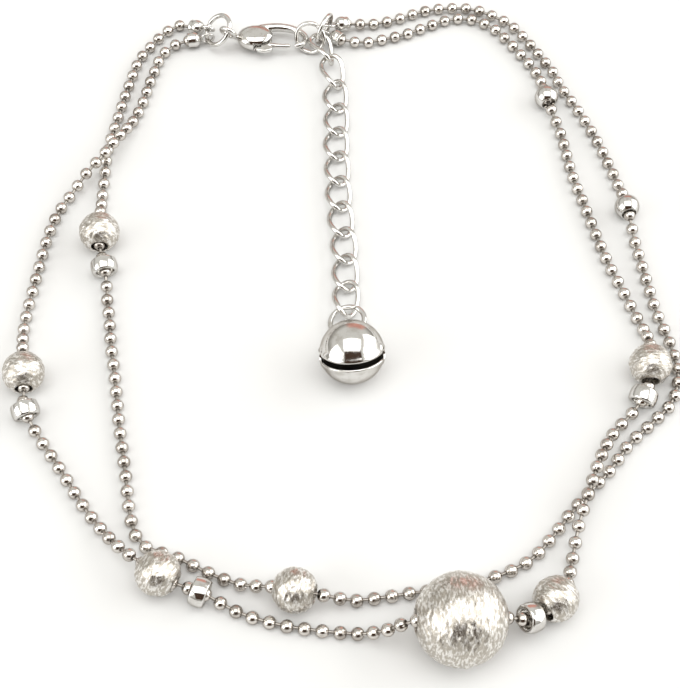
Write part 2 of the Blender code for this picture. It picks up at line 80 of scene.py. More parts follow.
# Seats: centre of each bead and the way the chain runs through it.
SEAT_A = ((-30.3, 8.1, 2.5), (0.08, -0.99, -0.06))
SEAT_B = ((-37.4, -12.8, 2.5), (0.12, -0.99, -0.08))
SEAT_C = ((-20.0, -38.7, 2.5), (0.84, -0.5, -0.16))
SEAT_D = ((-5.25, -40.7, 2.5), (0.97, -0.2, 0.05))
SEAT_BIG = ((12.2, -45.2, 5.0), (0.99, 0.07, -0.08))
SEAT_F = ((22.6, -41.7, 2.5), (0.6, 0.79, -0.12))
SEAT_G = ((36.0, -11.7, 2.5), (0.09, 0.985, 0.1))
SEAT_H1 = ((27.1, 31.7, 1.55), (-0.19, 0.98, 0.0))
SEAT_H2 = ((35.9, 12.9, 1.55), (-0.13, 0.99, 0.0))

# End cups: centre of the eye, the way from it to the cup, the eye's axis.
CUP_LEFT_OUTER = ((-18.61, 44.40, 1.67), (-0.849, 0.424, -0.316), (-0.215, -0.823, -0.526))
CUP_LEFT_INNER = ((-18.66, 43.08, 1.16), (-0.985, -0.175, -0.008), (0.173, -0.969, -0.178))
CUP_RIGHT_OUTER = ((-1.90, 44.98, 1.89), (0.93, 0.3, -0.26), (0.09, 0.48, 0.873))
CUP_RIGHT_INNER = ((-2.35, 44.35, 1.04), (0.806, -0.592, 0.028), (0.453, 0.646, 0.615))

# Rings: centre, axis, diameter of the wire's centre line, wire diameter, place of the cut in degrees.
RING_LEFT = ((-17.08, 43.25, 2.52), (-0.615, -0.266, 0.742), 4.2, 0.64, 200.0)
RING_CLASP = ((-4.48, 42.24, 2.05), (-0.303, -0.818, 0.489), 4.0, 0.6, 70.0)
RING_RIGHT = ((-2.57, 43.30, 2.73), (0.885, -0.438, -0.16), 4.0, 0.6, 250.0)
RING_BELL = ((0.48, -4.7, 1.35), (-0.222, 0.006, 0.975), 4.2, 0.64, 150.0)

# The two upper links and the last one: centre, long axis, axis through the hole.
LINK_FIRST = ((-2.694, 40.397, 1.866), (0.378, -0.923, -0.064), (0.536, 0.162, 0.828))
LINK_SECOND = ((-1.36, 36.409, 1.467), (0.178, -0.973, -0.149), (0.332, -0.083, 0.939))
LINK_LAST = ((0.33, -1.15, 1.07), (-0.048, -0.996, 0.073), (0.217, 0.061, 0.974))

BELL_CENTRE = (1.0, -10.9, BELL_D / 2 + 0.02)
BELL_SLOT_WAY = (0.0, -0.88, 0.47)
BELL_ROLL_DEG = -4.0
BELL_EYE_CENTRE = (0.34, -6.79, 1.33)
# Share of the bell's wall, from the inside, that is as dark as the inside: painted shade, not the metal's own
# colour.
PAINTED_SHADE_SHARE = 0.65
# Width of the raised lip, how strongly the shell's points crowd toward the slot, and where the points
# of an end hole lie, in shares of its half width from its outer end.
LIP_WIDTH = 0.42
CROWDING = 1.35
HOLE_SHARES = (0.06, 0.15, 0.3, 0.5, 0.75, 1.0, 1.25, 1.5, 1.7, 1.85)
HOLE_END_SHARE = 1.95

# Clasp: pivot of the lever, then plan points from it, x toward the nose, y toward the back.
CLASP_PIVOT = (-10.9, 41.9, 1.55)
CLASP_BODY_AT = (-1.1, 0.8)
CLASP_HOOK = [
    (-1.3, 2.0), (-0.1, 2.6), (1.9, 2.85), (3.5, 2.6), (4.8, 2.0),
    (5.7, 1.1), (5.75, 0.3), (5.3, -0.35), (4.6, -0.65),
]
CLASP_LEVER = [(0.95, -0.55), (1.5, -0.65), (2.5, -0.75), (3.45, -0.7)]
CLASP_TAIL_EYE = ((-15.6, 41.98, 3.29), (0.417, 0.853, 0.314))
CLASP_TAIL_D = 2.0
CLASP_TAIL_WIRE = 0.6
CLASP_TAIL_LONG = (1, 0, -0.6)
CLASP_NECK_END = (-1.8, 0, 0)
# Dome over the body's thickness, how full its outline is, and the hook's thickness along its way.
CLASP_DOME = 0.3
CLASP_FULLNESS = 0.62
HOOK_TAPER = (1.6, 1.5, 1.4, 1.1, 0.95)
BOSS_R = 1.05
TAB_SIZE = (2.3, 1.2)
TAB_RIM = 0.2
TAB_AT = (0.15, -1.3, 0)

# Plan route of the extender between the second and the last link.
EXTENDER_ROUTE = [
    (-1.13, 36.60), (-1.0, 31.1), (-0.86, 26.8), (-0.93, 22.4), (-0.68, 18.3),
    (-0.55, 14.2), (-0.2, 10.1), (0.15, 6.2), (0.28, 2.3), (0.4, -1.35),
]

# Camera at the photograph's angle: its place, the point it looks at, its lens.
CAMERA_AT = (-0.4, -114.27, 156.52)
CAMERA_AIM = (-0.4, -7.1, 0.0)
SENSOR_WIDTH = 36.0
# In metres: where the camera starts to see, and how far the floor lies under the model.
CAMERA_NEAR = 0.005
FLOOR_DROP = 0.00002


def through(seat, reach):
    """Three route points that take the chain straight through a seat."""
    centre = Vector(seat[0])
    way = Vector(seat[1]).normalized()
    return [tuple(centre - reach * way), tuple(centre), tuple(centre + reach * way)]


def beside(seat, aside, room):
    """Point beside a small bead: room past its surface, on the line that aside gives from its centre."""
    return tuple(Vector(seat[0]) + (BEAD_D / 2 + room) * Vector(aside).normalized())


def cup_mouth(cup):
    """Point in the mouth of an end cup, where its strand's first ball sits."""
    return tuple(Vector(cup[0]) + (CUP_REACH + CUP_BALL_AT) * Vector(cup[1]).normalized())


# Stopper beside each of five beads: its centre and the way the chain runs through it.
STOP_A = (beside(SEAT_A, (0.9, -4.85, -0.75), 2.49), (0.24, -0.95, -0.2))
STOP_B = (beside(SEAT_B, (0.65, -4.8, -0.71), 2.40), (0.36, -0.88, -0.3))
STOP_C = (beside(SEAT_C, (4.55, -1.85, -0.78), 2.47), (0.93, -0.34, -0.14))
STOP_F = (beside(SEAT_F, (-2.9, -2.5, 0.7), 1.39), (0.84, 0.4, -0.36))
STOP_G = (beside(SEAT_G, (-1.15, -4.0, -0.74), 1.73), (0.42, 0.87, 0.24))

LOW = CHAIN_D / 2
BEAD_REACH = 0.45 * BEAD_D
BIG_REACH = 0.48 * BIG_BEAD_D
POLISHED_REACH = 0.4 * POLISHED_D
STOP_REACH = 0.4 * STOPPER_LENGTH


def rested(points):
    """Route points with their heights; a point without one lies on the floor."""
    return [point if len(point) == 3 else (*point, LOW) for point in points]


STRAND_OUTER = rested(
    [cup_mouth(CUP_LEFT_OUTER)]
    + [
        (-22.8, 45.9), (-24.6, 44.4), (-26.2, 42.1), (-27.8, 39.1),
        (-28.7, 35.1), (-29.4, 31.4), (-30.0, 27.7), (-30.6, 24.1),
        (-30.75, 21.5), (-30.75, 18.6), (-30.75, 15.3), (-30.6, 12.4, 1.6),
    ]
    + through(SEAT_A, BEAD_REACH) + through(STOP_A, STOP_REACH)
    + [
        (-29.0, 0.9, 0.95), (-28.75, -1.4), (-28.3, -3.9), (-27.8, -7.7),
        (-27.1, -11.5), (-26.5, -15.2), (-25.9, -19.1), (-25.2, -22.8),
        (-24.5, -26.6), (-23.9, -30.2), (-23.1, -33.0), (-22.0, -34.5),
        (-20.1, -35.35), (-18.0, -36.1), (-16.2, -37.05), (-13.5, -38.4),
        (-10.8, -39.4, 1.0),
    ]
    + through(SEAT_D, BEAD_REACH)
    + [
        (-0.7, -41.2, 1.6), (1.6, -41.1), (4.4, -40.7), (7.4, -40.2),
        (12.2, -39.5), (17.2, -38.0), (20.5, -36.2), (23.0, -33.5),
        (25.3, -30.5), (27.7, -27.7), (30.3, -24.9), (32.7, -21.6),
        (35.7, -18.7), (38.3, -15.9), (39.45, -12.6), (39.4, -9.6),
        (38.8, -6.4), (37.95, -2.9), (37.4, 0.9), (36.9, 4.6),
        (36.45, 8.2),
    ]
    + through(SEAT_H2, POLISHED_REACH)
    + [
        (35.2, 17.4), (34.2, 21.4), (33.2, 24.9), (31.9, 28.4),
        (30.5, 31.7), (29.3, 34.2), (28.5, 36.9), (27.2, 39.5),
        (25.6, 42.4), (23.4, 45.8), (20.7, 47.9), (17.6, 49.2),
        (13.7, 49.2), (10.75, 48.5), (7.5, 47.1), (4.4, 46.2),
    ]
    + [cup_mouth(CUP_RIGHT_OUTER)]
)

STRAND_INNER = rested(
    [cup_mouth(CUP_LEFT_INNER)]
    + [
        (-23.4, 41.8, 0.85), (-24.8, 39.9), (-25.5, 37.3), (-26.0, 35.2),
        (-26.75, 31.3), (-27.7, 28.0, 0.95), (-28.7, 25.2, 1.9), (-29.6, 23.0, 2.5),
        (-30.9, 20.6, 2.6), (-32.7, 18.4, 2.0), (-34.0, 16.6, 1.2), (-35.1, 14.7, 0.8),
        (-36.2, 12.3), (-37.0, 8.8), (-37.5, 5.05), (-37.9, 1.2),
        (-38.3, -2.6), (-38.4, -5.8, 0.95), (-38.1, -8.2, 1.8),
    ]
    + through(SEAT_B, BEAD_REACH) + through(STOP_B, STOP_REACH)
    + [
        (-35.4, -20.1, 0.95), (-33.9, -22.3), (-31.8, -25.4), (-29.7, -28.7),
        (-27.6, -31.6, 0.8), (-25.8, -33.9, 1.5), (-24.0, -35.9, 2.4),
    ]
    + through(SEAT_C, BEAD_REACH) + through(STOP_C, STOP_REACH)
    + [
        (-12.7, -41.8, 0.95), (-10.3, -42.9), (-6.4, -44.0), (-2.5, -44.6),
        (1.2, -45.0, 0.85), (4.3, -45.5, 2.8),
    ]
    + through(SEAT_BIG, BIG_REACH) + through(STOP_F, STOP_REACH) + through(SEAT_F, BEAD_REACH)
    + [
        (24.7, -37.4, 1.3), (25.3, -34.9, 1.2), (26.1, -31.9, 1.95), (27.1, -29.2, 2.55),
        (27.9, -27.0, 2.6), (28.8, -24.7, 2.35), (30.0, -22.1, 1.65), (31.4, -19.8, 1.05),
        (33.1, -18.0, 1.1),
    ]
    + through(STOP_G, STOP_REACH) + through(SEAT_G, BEAD_REACH)
    + [
        (36.2, -7.4, 1.9), (36.0, -5.4, 0.85), (35.1, -2.6), (34.1, 0.6),
        (33.0, 3.9), (32.0, 7.8), (31.2, 11.3), (30.4, 15.0),
        (29.6, 18.5), (29.1, 22.3), (28.6, 26.0), (27.8, 28.9, 1.2),
    ]
    + through(SEAT_H1, POLISHED_REACH)
    + [
        (26.75, 34.6, 1.05), (26.2, 36.8), (24.9, 39.3), (23.0, 42.4),
        (20.85, 45.3), (18.0, 47.05), (15.0, 47.1), (11.7, 45.7),
        (8.9, 44.3), (5.2, 43.1), (2.6, 42.5, 0.85),
    ]
    + [cup_mouth(CUP_RIGHT_INNER)]
)


def length_property(name, description, default):
    return FloatProperty(
        name=name, description=description, default=default, min=0.0, precision=5, unit="LENGTH"
    )


def colour_property(name, description, default):
    return FloatVectorProperty(
        name=name, description=description, default=default, min=0.0, max=1.0, size=3, subtype="COLOR"
    )


class ChainSizes(bpy.types.PropertyGroup):
    ball_d: length_property("Ball diameter", "Diameter of one ball of the chain", 0.0015)
    pitch: length_property("Pitch", "Distance from one ball to the next", 0.00192)
    rod_d: length_property("Rod diameter", "Diameter of the rod between two balls", 0.0004)
    mouth_d: length_property("Ball mouth", "Diameter of the hole that the rod enters", 0.00062)
    seam_depth: length_property("Seam depth", "Depth of the rolled seam along a ball", 0.00003)


class BeadSizes(bpy.types.PropertyGroup):
    small_bore: length_property("Small bore", "Bore of a small frosted bead", 0.0021)
    big_bore: length_property("Big bore", "Bore of the big frosted bead", 0.0026)
    polished_bore: length_property("Polished bore", "Bore of a polished bead", 0.0018)
    fleck_length: length_property("Fleck length", "Half length of one brushed fleck", 0.00056)
    fleck_width: length_property("Fleck width", "Half width of one brushed fleck", 0.00021)
    fleck_depth: length_property("Fleck depth", "Depth of one brushed fleck", 0.000066)
    stopper_d: length_property("Stopper diameter", "Outer diameter of a stopper ring", 0.0033)
    stopper_bore: length_property("Stopper bore", "Bore of a stopper ring", 0.0021)
    seed: IntProperty(name="Seed", description="Seed of the flecks and rolls", default=7)


class WireSizes(bpy.types.PropertyGroup):
    link_wire: length_property("Link wire", "Wire diameter of an extender link", 0.0006)
    cup_d: length_property("Cup diameter", "Outer diameter of an end cup", 0.0021)
    cup_wall: length_property("Cup wall", "Wall of an end cup", 0.0002)
    cup_wire: length_property("Cup eye wire", "Wire diameter of an end cup's eye", 0.0004)


class ClaspSizes(bpy.types.PropertyGroup):
    thick: length_property("Thickness", "Thickness of the clasp's body", 0.0021)
    body_length: length_property("Body length", "Length of the oval body", 0.005)
    body_width: length_property("Body width", "Width of the oval body", 0.0039)
    cheek: length_property("Cheek", "Thickness of each cheek beside the lever", 0.00042)
    gap: length_property("Lever gap", "Room between the lever and the body", 0.0003)
    wire: length_property("Hook wire", "Diameter of the hook's rod", 0.0008)
    pin_d: length_property("Pin", "Diameter of the lever's pin", 0.0007)
    grain: length_property("Grain", "Size of the cells that fuse the cast shape", 0.00006)


class BellSizes(bpy.types.PropertyGroup):
    wall: length_property("Wall", "Thickness of the bell's wall", 0.0004)
    slot: length_property("Slot", "Width of the slot", 0.00075)
    hole: length_property("End hole", "Diameter of the hole at each end of the slot", 0.0016)
    hole_front: length_property("End hole place", "How far in front of the middle each hole sits", 0.0009)
    lip: length_property("Lip", "Height of the raised lip along the slot", 0.00007)
    eye_wire: length_property("Eye wire", "Wire diameter of the bell's eye", 0.0006)


class Finishes(bpy.types.PropertyGroup):
    silver: colour_property("Silver", "Colour of the polished metal", (0.73, 0.72, 0.70))
    silver_dim: colour_property("Worn silver", "Colour where the polish is worn", (0.60, 0.58, 0.55))
    chain: colour_property("Chain", "Colour of the balls", (0.70, 0.665, 0.625))
    chain_dim: colour_property("Dull chain", "Colour of the duller balls", (0.45, 0.415, 0.38))
    # Rod colour: the darkness is painted shade between the balls; only the duller finish is the rods' own.
    rod: colour_property("Rod", "Colour of the rods between the balls", (0.36, 0.335, 0.305))
    frosted: colour_property("Frosted silver", "Colour of the brushed beads", (0.82, 0.80, 0.77))
    frosted_dim: colour_property("Fleck", "Colour between the bright flecks", (0.46, 0.425, 0.375))
    edge: colour_property("Edge", "Light that a polished piece keeps near its rim", (0.50, 0.47, 0.44))
    chain_edge: colour_property("Chain edge", "Light that a ball keeps near its rim", (0.36, 0.325, 0.30))
    # Bell inside: painted shade, a dark colour that stands in for the shade in the hollow bell.
    inside: colour_property("Bell inside", "Colour inside the bell", (0.16, 0.145, 0.13))


class StageSettings(bpy.types.PropertyGroup):
    floor: colour_property("Floor", "Colour of the floor", (0.69, 0.69, 0.685))
    sky: colour_property("Room", "Colour of the light around", (0.78, 0.765, 0.72))
    horizon: colour_property("Horizon", "Colour of the light near the floor", (0.36, 0.345, 0.315))
    dark: colour_property("Dark side", "Colour of the dark side in front", (0.075, 0.045, 0.03))
    warm: colour_property("Warm side", "Colour of the warm strip behind", (0.82, 0.42, 0.34))
    panels: FloatProperty(name="Panels", description="Brightness of the soft panels", default=3.1, min=0)
    lens: FloatProperty(name="Lens", description="Focal length", default=82.6, min=1, unit="CAMERA")
    floor_size: length_property("Floor size", "Side of the floor", 3.0)


GROUPS = (
    ("anklet_chain", ChainSizes), ("anklet_beads", BeadSizes), ("anklet_wires", WireSizes),
    ("anklet_clasp", ClaspSizes), ("anklet_bell", BellSizes), ("anklet_finishes", Finishes),
    ("anklet_stage", StageSettings),
)


def axes_matrix(centre, long_axis, through_axis):
    """Placement with local X on long_axis and local Z on through_axis, in millimetres."""
    up = Vector(through_axis).normalized()
    along = Vector(long_axis)
    along = (along - up * along.dot(up)).normalized()
    across = up.cross(along)
    return Matrix.Translation(Vector(centre)) @ Matrix((along, across, up)).transposed().to_4x4()


def way_matrix(centre, way):
    """Placement with local Z on the given way, in millimetres."""
    way = Vector(way).normalized()
    helper = Vector((0, 0, 1)) if abs(way.z) < 0.9 else Vector((1, 0, 0))
    return axes_matrix(centre, helper.cross(way), way)


def in_metres(placement):
    result = placement.copy()
    result.translation = placement.translation * MM
    return result


def smooth_route(points, count):
    """Evenly spaced points on a smooth curve through the given points."""
    rows = [Vector(point) for point in points]
    rows = [2 * rows[0] - rows[1]] + rows + [2 * rows[-1] - rows[-2]]
    dense = []
    for index in range(1, len(rows) - 2):
        before, here, there, after = rows[index - 1:index + 3]
        for step in range(12):
            t = step / 12
            dense.append(0.5 * (
                2 * here + (there - before) * t
                + (2 * before - 5 * here + 4 * there - after) * t * t
                + (3 * here - 3 * there + after - before) * t * t * t
            ))
    dense.append(rows[-2])
    lengths = [0.0]
    for index in range(1, len(dense)):
        lengths.append(lengths[-1] + (dense[index] - dense[index - 1]).length)
    result = []
    place = 1
    for step in range(count):
        target = lengths[-1] * step / (count - 1)
        while place < len(dense) - 1 and lengths[place] < target:
            place += 1
        span = lengths[place] - lengths[place - 1]
        share = (target - lengths[place - 1]) / span
        result.append(dense[place - 1].lerp(dense[place], min(1.0, share)))
    return result


def route_length(points):
    total = 0.0
    rows = smooth_route(points, 12 * len(points))
    for index in range(1, len(rows)):
        total += (rows[index] - rows[index - 1]).length
    return total


def grid_faces(rings, sides, closed):
    """Quads between rings of points; closed joins the last ring to the first, open ends get a face."""
    faces = []
    for ring in range(rings if closed else rings - 1):
        following = (ring + 1) % rings
        for side in range(sides):
            other = (side + 1) % sides
            faces.append((
                ring * sides + side, ring * sides + other,
                following * sides + other, following * sides + side,
            ))
    if not closed:
        faces.append(tuple(range(sides)))
        faces.append(tuple(range((rings - 1) * sides, rings * sides)))
    return faces


def make_smooth(mesh):
    mesh.polygons.foreach_set("use_smooth", [True] * len(mesh.polygons))
    mesh.update()


def take_in(mesh, other):
    """Adds the points and faces of the other mesh to the first."""
    both = bmesh.new()
    both.from_mesh(mesh)
    both.from_mesh(other)
    both.to_mesh(mesh)
    both.free()


class Shape:
    """Collects points in millimetres and faces of several closed shells."""

    def __init__(self):
        self.rows = []
        self.faces = []
        self.finishes = []

    def add(self, rows, faces, placement=None, finish=0):
        start = sum(len(block) for block in self.rows)
        block = np.array([tuple(row) for row in rows], dtype=float)
        if placement is not None:
            turn = np.array(placement.to_3x3())
            block = block @ turn.T + np.array(placement.translation)
        self.rows.append(block)
        self.faces.extend(tuple(start + corner for corner in face) for face in faces)
        self.finishes.extend([finish] * len(faces))

    def mesh(self, name, scale=MM):
        mesh = bpy.data.meshes.new(name)
        mesh.from_pydata((np.concatenate(self.rows) * scale).tolist(), [], self.faces)
        mesh.polygons.foreach_set("material_index", self.finishes)
        tool = bmesh.new()
        tool.from_mesh(mesh)
        bmesh.ops.recalc_face_normals(tool, faces=tool.faces)
        tool.to_mesh(mesh)
        tool.free()
        make_smooth(mesh)
        return mesh


def turned(profile, angles, closed):
    """Rows and faces of a shell turned about Z; an open profile ends on the axis at both ends."""
    rows = []
    for radius, height in profile:
        for angle in angles:
            rows.append((radius * math.cos(angle), radius * math.sin(angle), height))
    return rows, grid_faces(len(profile), len(angles), closed)


def full_turn(sides):
    return [2 * math.pi * step / sides for step in range(sides)]


def sweep(path, radii, sides, closed):
    """Round wire along a path near the XY plane."""
    count = len(path)
    rows = []
    for index in range(count):
        if closed:
            tangent = path[(index + 1) % count] - path[index - 1]
        else:
            tangent = path[min(index + 1, count - 1)] - path[max(index - 1, 0)]
        tangent = tangent.normalized()
        side = tangent.cross(Vector((0, 0, 1))).normalized()
        up = side.cross(tangent)
        for angle in full_turn(sides):
            rows.append(path[index] + radii[index] * (math.cos(angle) * side + math.sin(angle) * up))
    return rows, grid_faces(count, sides, closed)


def ring_shape(line_d, wire_d, segments=72, sides=14):
    path = [Vector((math.cos(a), math.sin(a), 0)) * line_d / 2 for a in full_turn(segments)]
    return sweep(path, [wire_d / 2] * segments, sides, True)


def cut_ring_shape(line_d, wire_d, cut_degrees):
    """Jump ring with a narrow cut and its two ends slightly out of line."""
    segments = 84
    cut = 0.14 / line_d
    offset = 0.05
    path = []
    radii = []
    for step in range(segments + 1):
        share = step / segments
        angle = math.radians(cut_degrees) + cut + (2 * math.pi - 2 * cut) * share
        lift = offset * (2 * share - 1) ** 5
        path.append(Vector((math.cos(angle) * line_d / 2, math.sin(angle) * line_d / 2, lift)))
        ends = min(step, segments - step)
        radii.append(wire_d / 2 * (0.86 if ends == 0 else 1.0))
    return sweep(path, radii, 14, False)


def rod_shape(points, radii, sides=18):
    """Rod through plan points with rounded ends; radii run from the first point to the last."""
    count = 8 * len(points)
    curve = smooth_route([(x, y, 0) for x, y in points], count)
    thick = []
    for step in range(count):
        place = step / (count - 1) * (len(radii) - 1)
        low = min(int(place), len(radii) - 2)
        thick.append(radii[low] + (radii[low + 1] - radii[low]) * (place - low))
    first = (curve[0] - curve[1]).normalized()
    last = (curve[-1] - curve[-2]).normalized()
    path = []
    sizes = []
    for turn in ROD_END_TURNS:
        path.append(curve[0] + first * thick[0] * math.sin(math.radians(turn)))
        sizes.append(thick[0] * math.cos(math.radians(turn)))
    path += curve
    sizes += thick
    for turn in reversed(ROD_END_TURNS):
        path.append(curve[-1] + last * thick[-1] * math.sin(math.radians(turn)))
        sizes.append(thick[-1] * math.cos(math.radians(turn)))
    return sweep(path, sizes, sides, False)


def oval_shape(length, width, thick, rim, segments=64):
    """Oval plate whose rims are quarter rounds."""
    rows = []
    levels = []
    for turn in range(90, -1, -15):
        angle = math.radians(turn)
        levels.append((-thick / 2 + rim * (1 - math.sin(angle)), rim * (1 - math.cos(angle))))
    levels += [(-height, inset) for height, inset in reversed(levels)]
    for height, inset in levels:
        for angle in full_turn(segments):
            rows.append((
                (length / 2 - inset) * math.cos(angle), (width / 2 - inset) * math.sin(angle), height
            ))
    return rows, grid_faces(len(levels), segments, False)


def pebble_shape(length, width, thick, fullness, segments=72):
    """Domed oval; a smaller fullness makes its outline stay wide further up."""
    rows = []
    turns = [-88, -80] + list(range(-72, 73, 6)) + [80, 88]
    for turn in turns:
        share = math.cos(math.radians(turn)) ** fullness
        height = thick / 2 * math.sin(math.radians(turn))
        for angle in full_turn(segments):
            rows.append((share * length / 2 * math.cos(angle), share * width / 2 * math.sin(angle), height))
    return rows, grid_faces(len(turns), segments, False)


def box_shape(low, high):
    rows = [(x, y, z) for x in (low[0], high[0]) for y in (low[1], high[1]) for z in (low[2], high[2])]
    faces = [(0, 1, 3, 2), (4, 6, 7, 5), (0, 4, 5, 1), (2, 3, 7, 6), (0, 2, 6, 4), (1, 5, 7, 3)]
    return rows, faces


def fused(name, shape, grain, cut=None):
    """One cast solid from overlapping shells in millimetres, with soft inner corners."""
    item = bpy.data.objects.new(name, shape.mesh(name, 1.0))
    bpy.context.scene.collection.objects.link(item)
    helpers = [item]
    cells = item.modifiers.new("fuse", "REMESH")
    cells.mode = "VOXEL"
    cells.voxel_size = grain
    if cut is not None:
        cutter = bpy.data.objects.new(name + "_cut", cut.mesh(name + "_cut", 1.0))
        bpy.context.scene.collection.objects.link(cutter)
        helpers.append(cutter)
        step = item.modifiers.new("cut", "BOOLEAN")
        step.operation = "DIFFERENCE"
        step.solver = "EXACT"
        step.object = cutter
    soft = item.modifiers.new("soften", "SMOOTH")
    soft.factor = 0.5
    soft.iterations = 6
    graph = bpy.context.evaluated_depsgraph_get()
    graph.update()
    mesh = bpy.data.meshes.new_from_object(item.evaluated_get(graph))
    for helper in helpers:
        bpy.data.objects.remove(helper, do_unlink=True)
    mesh.transform(Matrix.Scale(MM, 4))
    make_smooth(mesh)
    return mesh


def add_piece(name, mesh, placement, materials, slot, body, *nodes):
    """Links a piece in place, gives it its finish and lets it ride instead of its CAD nodes."""
    item = bpy.data.objects.new(name, mesh)
    bpy.context.scene.collection.objects.link(item)
    item.matrix_world = in_metres(placement)
    for material in materials:
        mesh.materials.append(material)
    bpy.context.view_layer.update()
    for node in nodes:
        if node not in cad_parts:
            raise RuntimeError("the model has no node " + node)
    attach(item, body)
    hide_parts(*nodes)
    return item


def link_value(tree, value, socket):
    if isinstance(value, bpy.types.NodeSocket):
        tree.links.new(value, socket)
    else:
        socket.default_value = value


def calculate(tree, operation, first, second=0.0):
    node = tree.nodes.new("ShaderNodeMath")
    node.operation = operation
    link_value(tree, first, node.inputs[0])
    link_value(tree, second, node.inputs[1])
    return node.outputs[0]


def blend_colours(tree, factor, first, second):
    node = tree.nodes.new("ShaderNodeMix")
    node.data_type = "RGBA"
    link_value(tree, factor, node.inputs["Factor"])
    for colour, name in ((first, "A"), (second, "B")):
        if not isinstance(colour, bpy.types.NodeSocket):
            colour = (*colour, 1.0)
        link_value(tree, colour, node.inputs[name])
    return node.outputs["Result"]


def grain_noise(tree, stretch, scale, detail, rough=0.5):
    """Noise over the piece's own coordinates; stretch squeezes it along the local axes."""
    coordinates = tree.nodes.new("ShaderNodeTexCoord")
    mapping = tree.nodes.new("ShaderNodeMapping")
    mapping.inputs["Scale"].default_value = stretch
    tree.links.new(coordinates.outputs["Object"], mapping.inputs["Vector"])
    texture = tree.nodes.new("ShaderNodeTexNoise")
    texture.inputs["Scale"].default_value = scale
    texture.inputs["Detail"].default_value = detail
    texture.inputs["Roughness"].default_value = rough
    tree.links.new(mapping.outputs["Vector"], texture.inputs["Vector"])
    return texture.outputs["Fac"]


def ranged(tree, value, low, high, to_low, to_high):
    node = tree.nodes.new("ShaderNodeMapRange")
    node.interpolation_type = "SMOOTHSTEP"
    tree.links.new(value, node.inputs["Value"])
    for name, limit in (("From Min", low), ("From Max", high), ("To Min", to_low), ("To Max", to_high)):
        node.inputs[name].default_value = limit
    return node.outputs["Result"]


def blank_metal(name):
    """New material without colour or gloss of its own, its node tree and its shader."""
    material = bpy.data.materials.new(name)
    material.use_nodes = True
    tree = material.node_tree
    shader = tree.nodes["Principled BSDF"]
    shader.inputs["Metallic"].default_value = 1.0
    return material, tree, shader


def add_relief(tree, shader, height, strength, depth):
    """Bump from a height value; its depth is in millimetres."""
    bump = tree.nodes.new("ShaderNodeBump")
    bump.inputs["Strength"].default_value = strength
    bump.inputs["Distance"].default_value = depth * MM
    tree.links.new(height, bump.inputs["Height"])
    tree.links.new(bump.outputs["Normal"], shader.inputs["Normal"])


def metal(name, bright, dim, edge, polish, dull, wear_scale, streaks, relief):
    """Worn silver: tone and gloss vary in soft patches, with fine streaks in the relief."""
    known = bpy.data.materials.get(name)
    if known is not None:
        return known
    material, tree, shader = blank_metal(name)
    shader.inputs["Specular Tint"].default_value = (*edge, 1.0)
    wear = grain_noise(tree, (1, 1, 1), wear_scale, 4)
    fine = grain_noise(tree, streaks[0], streaks[1], 5, 0.6)
    patches = ranged(tree, wear, 0.42, 0.68, 0.0, 1.0)
    tone = blend_colours(tree, patches, bright, dim)
    tree.links.new(tone, shader.inputs["Base Color"])
    gloss = calculate(tree, "ADD", ranged(tree, wear, 0.35, 0.7, polish, dull),
                      ranged(tree, fine, 0.4, 0.75, 0.0, 0.06))
    tree.links.new(gloss, shader.inputs["Roughness"])
    add_relief(tree, shader, fine, *relief)
    return material


def silver_material(finishes):
    return metal("polished_silver", finishes.silver, finishes.silver_dim, finishes.edge, 0.06, 0.16,
                 900.0, ((1, 1, 0.25), 5200.0), (0.12, 0.01))


def chain_material(finishes):
    return metal("chain_silver", finishes.chain, finishes.chain_dim, finishes.chain_edge, 0.08, 0.22,
                 420.0, ((1, 1, 1), 4200.0), (0.14, 0.012))


def frosted_material(finishes):
    """Brushed silver with bright flecks that run round the bore."""
    known = bpy.data.materials.get("frosted_silver_flecks")
    if known is not None:
        return known
    material, tree, shader = blank_metal("frosted_silver_flecks")
    streak = grain_noise(tree, (1, 1, 2.4), 1700.0, 4, 0.62)
    fine = grain_noise(tree, (1, 1, 2.0), 5200.0, 3, 0.6)
    height = calculate(tree, "ADD", streak, calculate(tree, "MULTIPLY", fine, 0.5))
    flecks = ranged(tree, streak, 0.46, 0.6, 0.0, 1.0)
    tree.links.new(blend_colours(tree, flecks, finishes.frosted_dim, finishes.frosted),
                   shader.inputs["Base Color"])
    tree.links.new(ranged(tree, fine, 0.35, 0.65, 0.24, 0.46), shader.inputs["Roughness"])
    add_relief(tree, shader, height, 0.55, 0.05)
    return material


def ball_shape(sizes):
    """One chain ball about Z with a mouth at each end and a rolled seam."""
    radius = sizes.ball_d / MM / 2
    mouth = sizes.mouth_d / MM / 2
    start = math.asin(mouth / radius)
    profile = [(AXIS_R, 0.5 * radius), (0.8 * mouth, 0.52 * radius), (0.84 * mouth, 0.88 * radius)]
    bands = 11
    for step in range(bands + 1):
        angle = start + (math.pi - 2 * start) * step / bands
        profile.append((radius * math.sin(angle), radius * math.cos(angle)))
    profile += [(r, -z) for r, z in reversed(profile[:3])]
    seam = math.radians(5)
    angles = [0.0] + [seam + (2 * math.pi - 2 * seam) * step / 17 for step in range(18)]
    rows, faces = turned(profile, angles, False)
    sides = len(angles)
    depth = 1 - sizes.seam_depth / MM / radius
    for ring in range(3, len(profile) - 3):
        x, y, z = rows[ring * sides]
        rows[ring * sides] = (x * depth, y * depth, z * depth)
    return rows, faces


